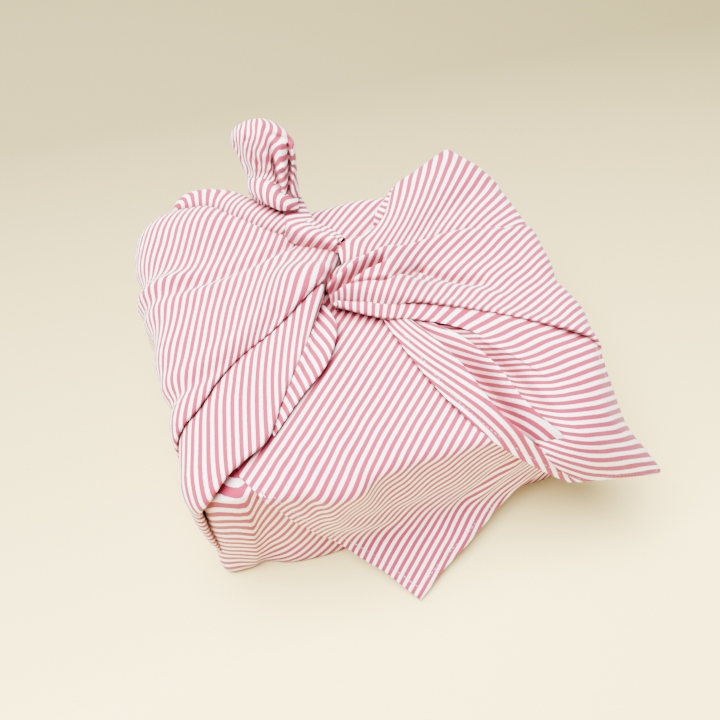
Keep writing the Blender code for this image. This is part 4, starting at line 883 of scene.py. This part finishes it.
# ------------------------------------------------------------------------- material
def cotton():
    mat = bpy.data.materials.new("striped_cotton")
    mat.use_nodes = True
    tree = mat.node_tree
    tree.nodes.clear()

    def node(kind, **values):
        made = tree.nodes.new(kind)
        for key, value in values.items():
            if key in made.inputs:
                made.inputs[key].default_value = value
            else:
                setattr(made, key, value)
        return made

    def math_node(op, a, b=None, c=None, clamp=False):
        made = tree.nodes.new("ShaderNodeMath")
        made.operation = op
        made.use_clamp = clamp
        for i, value in enumerate((a, b, c)):
            if value is None:
                continue
            if hasattr(value, "is_output"):
                tree.links.new(value, made.inputs[i])
            else:
                made.inputs[i].default_value = value
        return made.outputs[0]

    def mix(fac, a, b, blend="MIX"):
        made = tree.nodes.new("ShaderNodeMix")
        made.data_type = "RGBA"
        made.blend_type = blend
        for name, value in (("Factor", fac), ("A", a), ("B", b)):
            socket = next(s for s in made.inputs if s.name == name and s.enabled)
            if hasattr(value, "is_output"):
                tree.links.new(value, socket)
            else:
                socket.default_value = value
        return next(s for s in made.outputs if s.enabled)

    out = node("ShaderNodeOutputMaterial")
    shader = node("ShaderNodeBsdfPrincipled")
    tree.links.new(shader.outputs[0], out.inputs[0])
    stripe = node("ShaderNodeAttribute", attribute_name="stripe").outputs["Fac"]
    across = node("ShaderNodeAttribute", attribute_name="across").outputs["Fac"]
    hem = node("ShaderNodeAttribute", attribute_name="hem").outputs["Fac"]
    coord = node("ShaderNodeTexCoord").outputs["Object"]

    # yarns: fine unevenness of the stripe's edges and colour
    fray = node("ShaderNodeTexNoise", Scale=900.0, Detail=2.0)
    tree.links.new(coord, fray.inputs["Vector"])
    wander = node("ShaderNodeTexNoise", Scale=60.0, Detail=2.0)
    tree.links.new(coord, wander.inputs["Vector"])
    shift = math_node("MULTIPLY_ADD", fray.outputs[0], 0.07, math_node("MULTIPLY_ADD", wander.outputs[0], 0.05, -0.06))
    place = math_node("FRACT", math_node("ADD", stripe, shift))
    from_mid = math_node("ABSOLUTE", math_node("SUBTRACT", place, 0.5))
    band = node("ShaderNodeMapRange", clamp=True)
    band.interpolation_type = "SMOOTHSTEP"
    tree.links.new(from_mid, band.inputs["Value"])
    band.inputs["From Min"].default_value = 0.31
    band.inputs["From Max"].default_value = 0.24
    pink_amount = band.outputs[0]

    # plain weave, in yarns of 0.3 mm
    warp = math_node("SINE", math_node("MULTIPLY", stripe, 2 * math.pi * PITCH / 0.36))
    weft = math_node("SINE", math_node("MULTIPLY", across, 2 * math.pi * PITCH / 0.36))
    weave = math_node("MULTIPLY", warp, weft)

    tone = node("ShaderNodeTexNoise", Scale=34.0, Detail=3.0)
    tree.links.new(coord, tone.inputs["Vector"])
    pink = mix(tone.outputs[0], (0.27, 0.010, 0.050, 1), (0.34, 0.015, 0.070, 1))
    white = mix(tone.outputs[0], (0.90, 0.82, 0.835, 1), (0.95, 0.88, 0.895, 1))
    colour = mix(pink_amount, white, pink)
    speck = math_node("MULTIPLY_ADD", weave, 0.035, 0.985)
    shade = node("ShaderNodeCombineColor")
    for i in range(3):
        tree.links.new(speck, shade.inputs[i])
    colour = mix(1.0, colour, shade.outputs[0], "MULTIPLY")

    # painted shade: deep in the folds and in the knot's hollow the colour is mixed towards a darker, redder pink, by
    # how closed in the cloth is there, standing in for the shade and the pink light bounced inside the folds
    fold_occlusion = node("ShaderNodeAmbientOcclusion", samples=8, Distance=0.022)
    painted_fold_shade = node("ShaderNodeMapRange", clamp=True)
    tree.links.new(fold_occlusion.outputs["AO"], painted_fold_shade.inputs["Value"])
    painted_fold_shade.inputs["From Min"].default_value = 0.86
    painted_fold_shade.inputs["From Max"].default_value = 0.40
    colour = mix(math_node("MULTIPLY", painted_fold_shade.outputs[0], 0.9), colour, mix(1.0, colour, (0.44, 0.10, 0.15, 1), "MULTIPLY"))

    # a stitched line along the hem, and the hem's own edge
    seam = math_node("ABSOLUTE", math_node("SUBTRACT", hem, HEM - 0.9))
    seam_near = math_node("SUBTRACT", 1.0, math_node("MULTIPLY", seam, 1 / 0.55), clamp=True)
    dash = math_node("GREATER_THAN", math_node("SINE", math_node("MULTIPLY", across, 2 * math.pi * PITCH / 2.6)), -0.35)
    stitch = math_node("MULTIPLY", seam_near, dash)
    colour = mix(math_node("MULTIPLY", stitch, 0.45), colour, (0.80, 0.62, 0.66, 1))
    tree.links.new(colour, shader.inputs["Base Color"])

    bump_yarn = node("ShaderNodeBump", Strength=0.25, Distance=0.00012)
    tree.links.new(weave, bump_yarn.inputs["Height"])
    soft = node("ShaderNodeTexNoise", Scale=150.0, Detail=4.0, Roughness=0.6)
    tree.links.new(coord, soft.inputs["Vector"])
    bump_soft = node("ShaderNodeBump", Strength=0.35, Distance=0.0005)
    tree.links.new(soft.outputs[0], bump_soft.inputs["Height"])
    tree.links.new(bump_yarn.outputs[0], bump_soft.inputs["Normal"])
    bump_seam = node("ShaderNodeBump", Strength=0.8, Distance=0.0004, invert=True)
    tree.links.new(seam_near, bump_seam.inputs["Height"])
    tree.links.new(bump_soft.outputs[0], bump_seam.inputs["Normal"])
    tree.links.new(bump_seam.outputs[0], shader.inputs["Normal"])
    rough = math_node("MULTIPLY_ADD", tone.outputs[0], 0.1, 0.78)
    tree.links.new(rough, shader.inputs["Roughness"])
    shader.inputs["Specular IOR Level"].default_value = 0.25
    shader.inputs["Sheen Weight"].default_value = 0.12
    shader.inputs["Sheen Roughness"].default_value = 0.5
    return mat


# ----------------------------------------------------------------- one joined cloth
def join_patches(material):
    points, faces, stripes, hems, acrosses = [], [], [], [], []
    start = 0
    for name, grid, stripe, across, hem, flip in PATCHES:
        n, m = grid.shape[:2]
        index = start + np.arange(n * m).reshape(n, m)
        quads = np.stack([index[:-1, :-1], index[1:, :-1], index[1:, 1:], index[:-1, 1:]], -1).reshape(-1, 4)
        if flip:
            quads = quads[:, ::-1]
        points.append(grid.reshape(-1, 3))
        faces.append(quads)
        stripes.append(stripe.ravel())
        hems.append(hem.ravel())
        acrosses.append(across.ravel())
        start += n * m
    points = np.concatenate(points) * MM
    faces = np.concatenate(faces)
    mesh = bpy.data.meshes.new("furoshiki_cloth")
    mesh.from_pydata(points.tolist(), [], faces.tolist())
    for name, values in (("stripe", stripes), ("hem", hems), ("across", acrosses)):
        layer = mesh.attributes.new(name, "FLOAT", "POINT")
        layer.data.foreach_set("value", np.concatenate(values).astype(np.float32))
    mesh.shade_smooth()
    mesh.materials.append(material)
    obj = bpy.data.objects.new("furoshiki_cloth", mesh)
    bpy.context.scene.collection.objects.link(obj)
    print("cloth:", len(points), "points", 2 * len(faces), "triangles")
    for name, grid, *_ in PATCHES:
        du, dv = np.diff(grid[:, :-1], axis=0), np.diff(grid[:-1], axis=1)
        print("patch", name, grid.shape, "area m2", round(float(np.linalg.norm(np.cross(du, dv), axis=-1).sum()) * 1e-6, 4))
    return obj


cloth = join_patches(cotton())
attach(cloth, "root")
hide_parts("furoshiki_wrap")


# --------------------------------------------------------------- floor, light, camera
def stage():
    mesh = bpy.data.meshes.new("floor")
    s = 3.0
    mesh.from_pydata([(-s, -s, 0), (s, -s, 0), (s, s, 0), (-s, s, 0)], [], [(0, 1, 2, 3)])
    mat = bpy.data.materials.new("floor")
    mat.use_nodes = True
    shader = mat.node_tree.nodes["Principled BSDF"]
    # a pale paper whose colour is darkened towards the back: painted shade for less light there
    coord, split, painted_falloff = (mat.node_tree.nodes.new(k) for k in ("ShaderNodeTexCoord", "ShaderNodeSeparateXYZ", "ShaderNodeMapRange"))
    blend = mat.node_tree.nodes.new("ShaderNodeMix")
    blend.data_type = "RGBA"
    mat.node_tree.links.new(coord.outputs["Object"], split.inputs[0])
    mat.node_tree.links.new(split.outputs["Y"], painted_falloff.inputs["Value"])
    painted_falloff.inputs["From Min"].default_value, painted_falloff.inputs["From Max"].default_value = -0.14, 0.34
    ease = mat.node_tree.nodes.new("ShaderNodeMath")
    ease.operation = "POWER"
    ease.inputs[1].default_value = 0.65
    mat.node_tree.links.new(painted_falloff.outputs[0], ease.inputs[0])
    mat.node_tree.links.new(ease.outputs[0], next(socket for socket in blend.inputs if socket.enabled and socket.name == "Factor"))
    near, far = [socket for socket in blend.inputs if socket.enabled and socket.name in "AB"]
    # painted shade: the far colour is about a quarter as bright as the near one
    near.default_value, far.default_value = (0.97, 0.80, 0.33, 1), (0.25, 0.205, 0.088, 1)
    mat.node_tree.links.new(next(socket for socket in blend.outputs if socket.enabled), shader.inputs["Base Color"])
    shader.inputs["Roughness"].default_value = 0.8
    shader.inputs["Specular IOR Level"].default_value = 0.2
    mesh.materials.append(mat)
    floor = bpy.data.objects.new("floor", mesh)
    bpy.context.scene.collection.objects.link(floor)


def area_light(name, place, target, size, power, colour):
    data = bpy.data.lights.new(name, "AREA")
    data.shape = "DISK"
    data.size = size
    data.energy = power
    data.color = colour
    obj = bpy.data.objects.new(name, data)
    obj.location = place
    obj.rotation_euler = (Vector(target) - Vector(place)).to_track_quat("-Z", "Y").to_euler()
    bpy.context.scene.collection.objects.link(obj)


stage()
area_light("key", (-0.32, 0.10, 1.27), (0, 0, 0.05), 1.1, 140.0, (1.0, 0.985, 0.96))
area_light("fill", (0.3, -1.5, 1.3), (0, -0.3, 0.0), 1.4, 7.0, (1.0, 0.98, 0.95))
world = bpy.data.worlds.new("world")
world.use_nodes = True
world.node_tree.nodes["Background"].inputs[0].default_value = (1.0, 0.98, 0.95, 1)
world.node_tree.nodes["Background"].inputs[1].default_value = 0.65
bpy.context.scene.world = world

# The photo's camera: 364.7 mm from the point looked at, 56.5 degrees up, 16.5 degrees to the left of the front.
TARGET = Vector((-12.762, -30.298, 100.0)) * MM
LIFT, SWING, RANGE = math.radians(56.463), math.radians(-16.451), 0.364723
direction = Vector((math.sin(SWING) * math.cos(LIFT), -math.cos(SWING) * math.cos(LIFT), math.sin(LIFT)))
camera = bpy.data.objects.new("camera", bpy.data.cameras.new("camera"))
camera.data.sensor_width = 36.0
camera.data.lens = 34.218
camera.location = TARGET + direction * RANGE
camera.rotation_euler = (-direction).to_track_quat("-Z", "Y").to_euler()
bpy.context.scene.collection.objects.link(camera)
bpy.context.scene.camera = camera

bpy.context.view_layer.update()
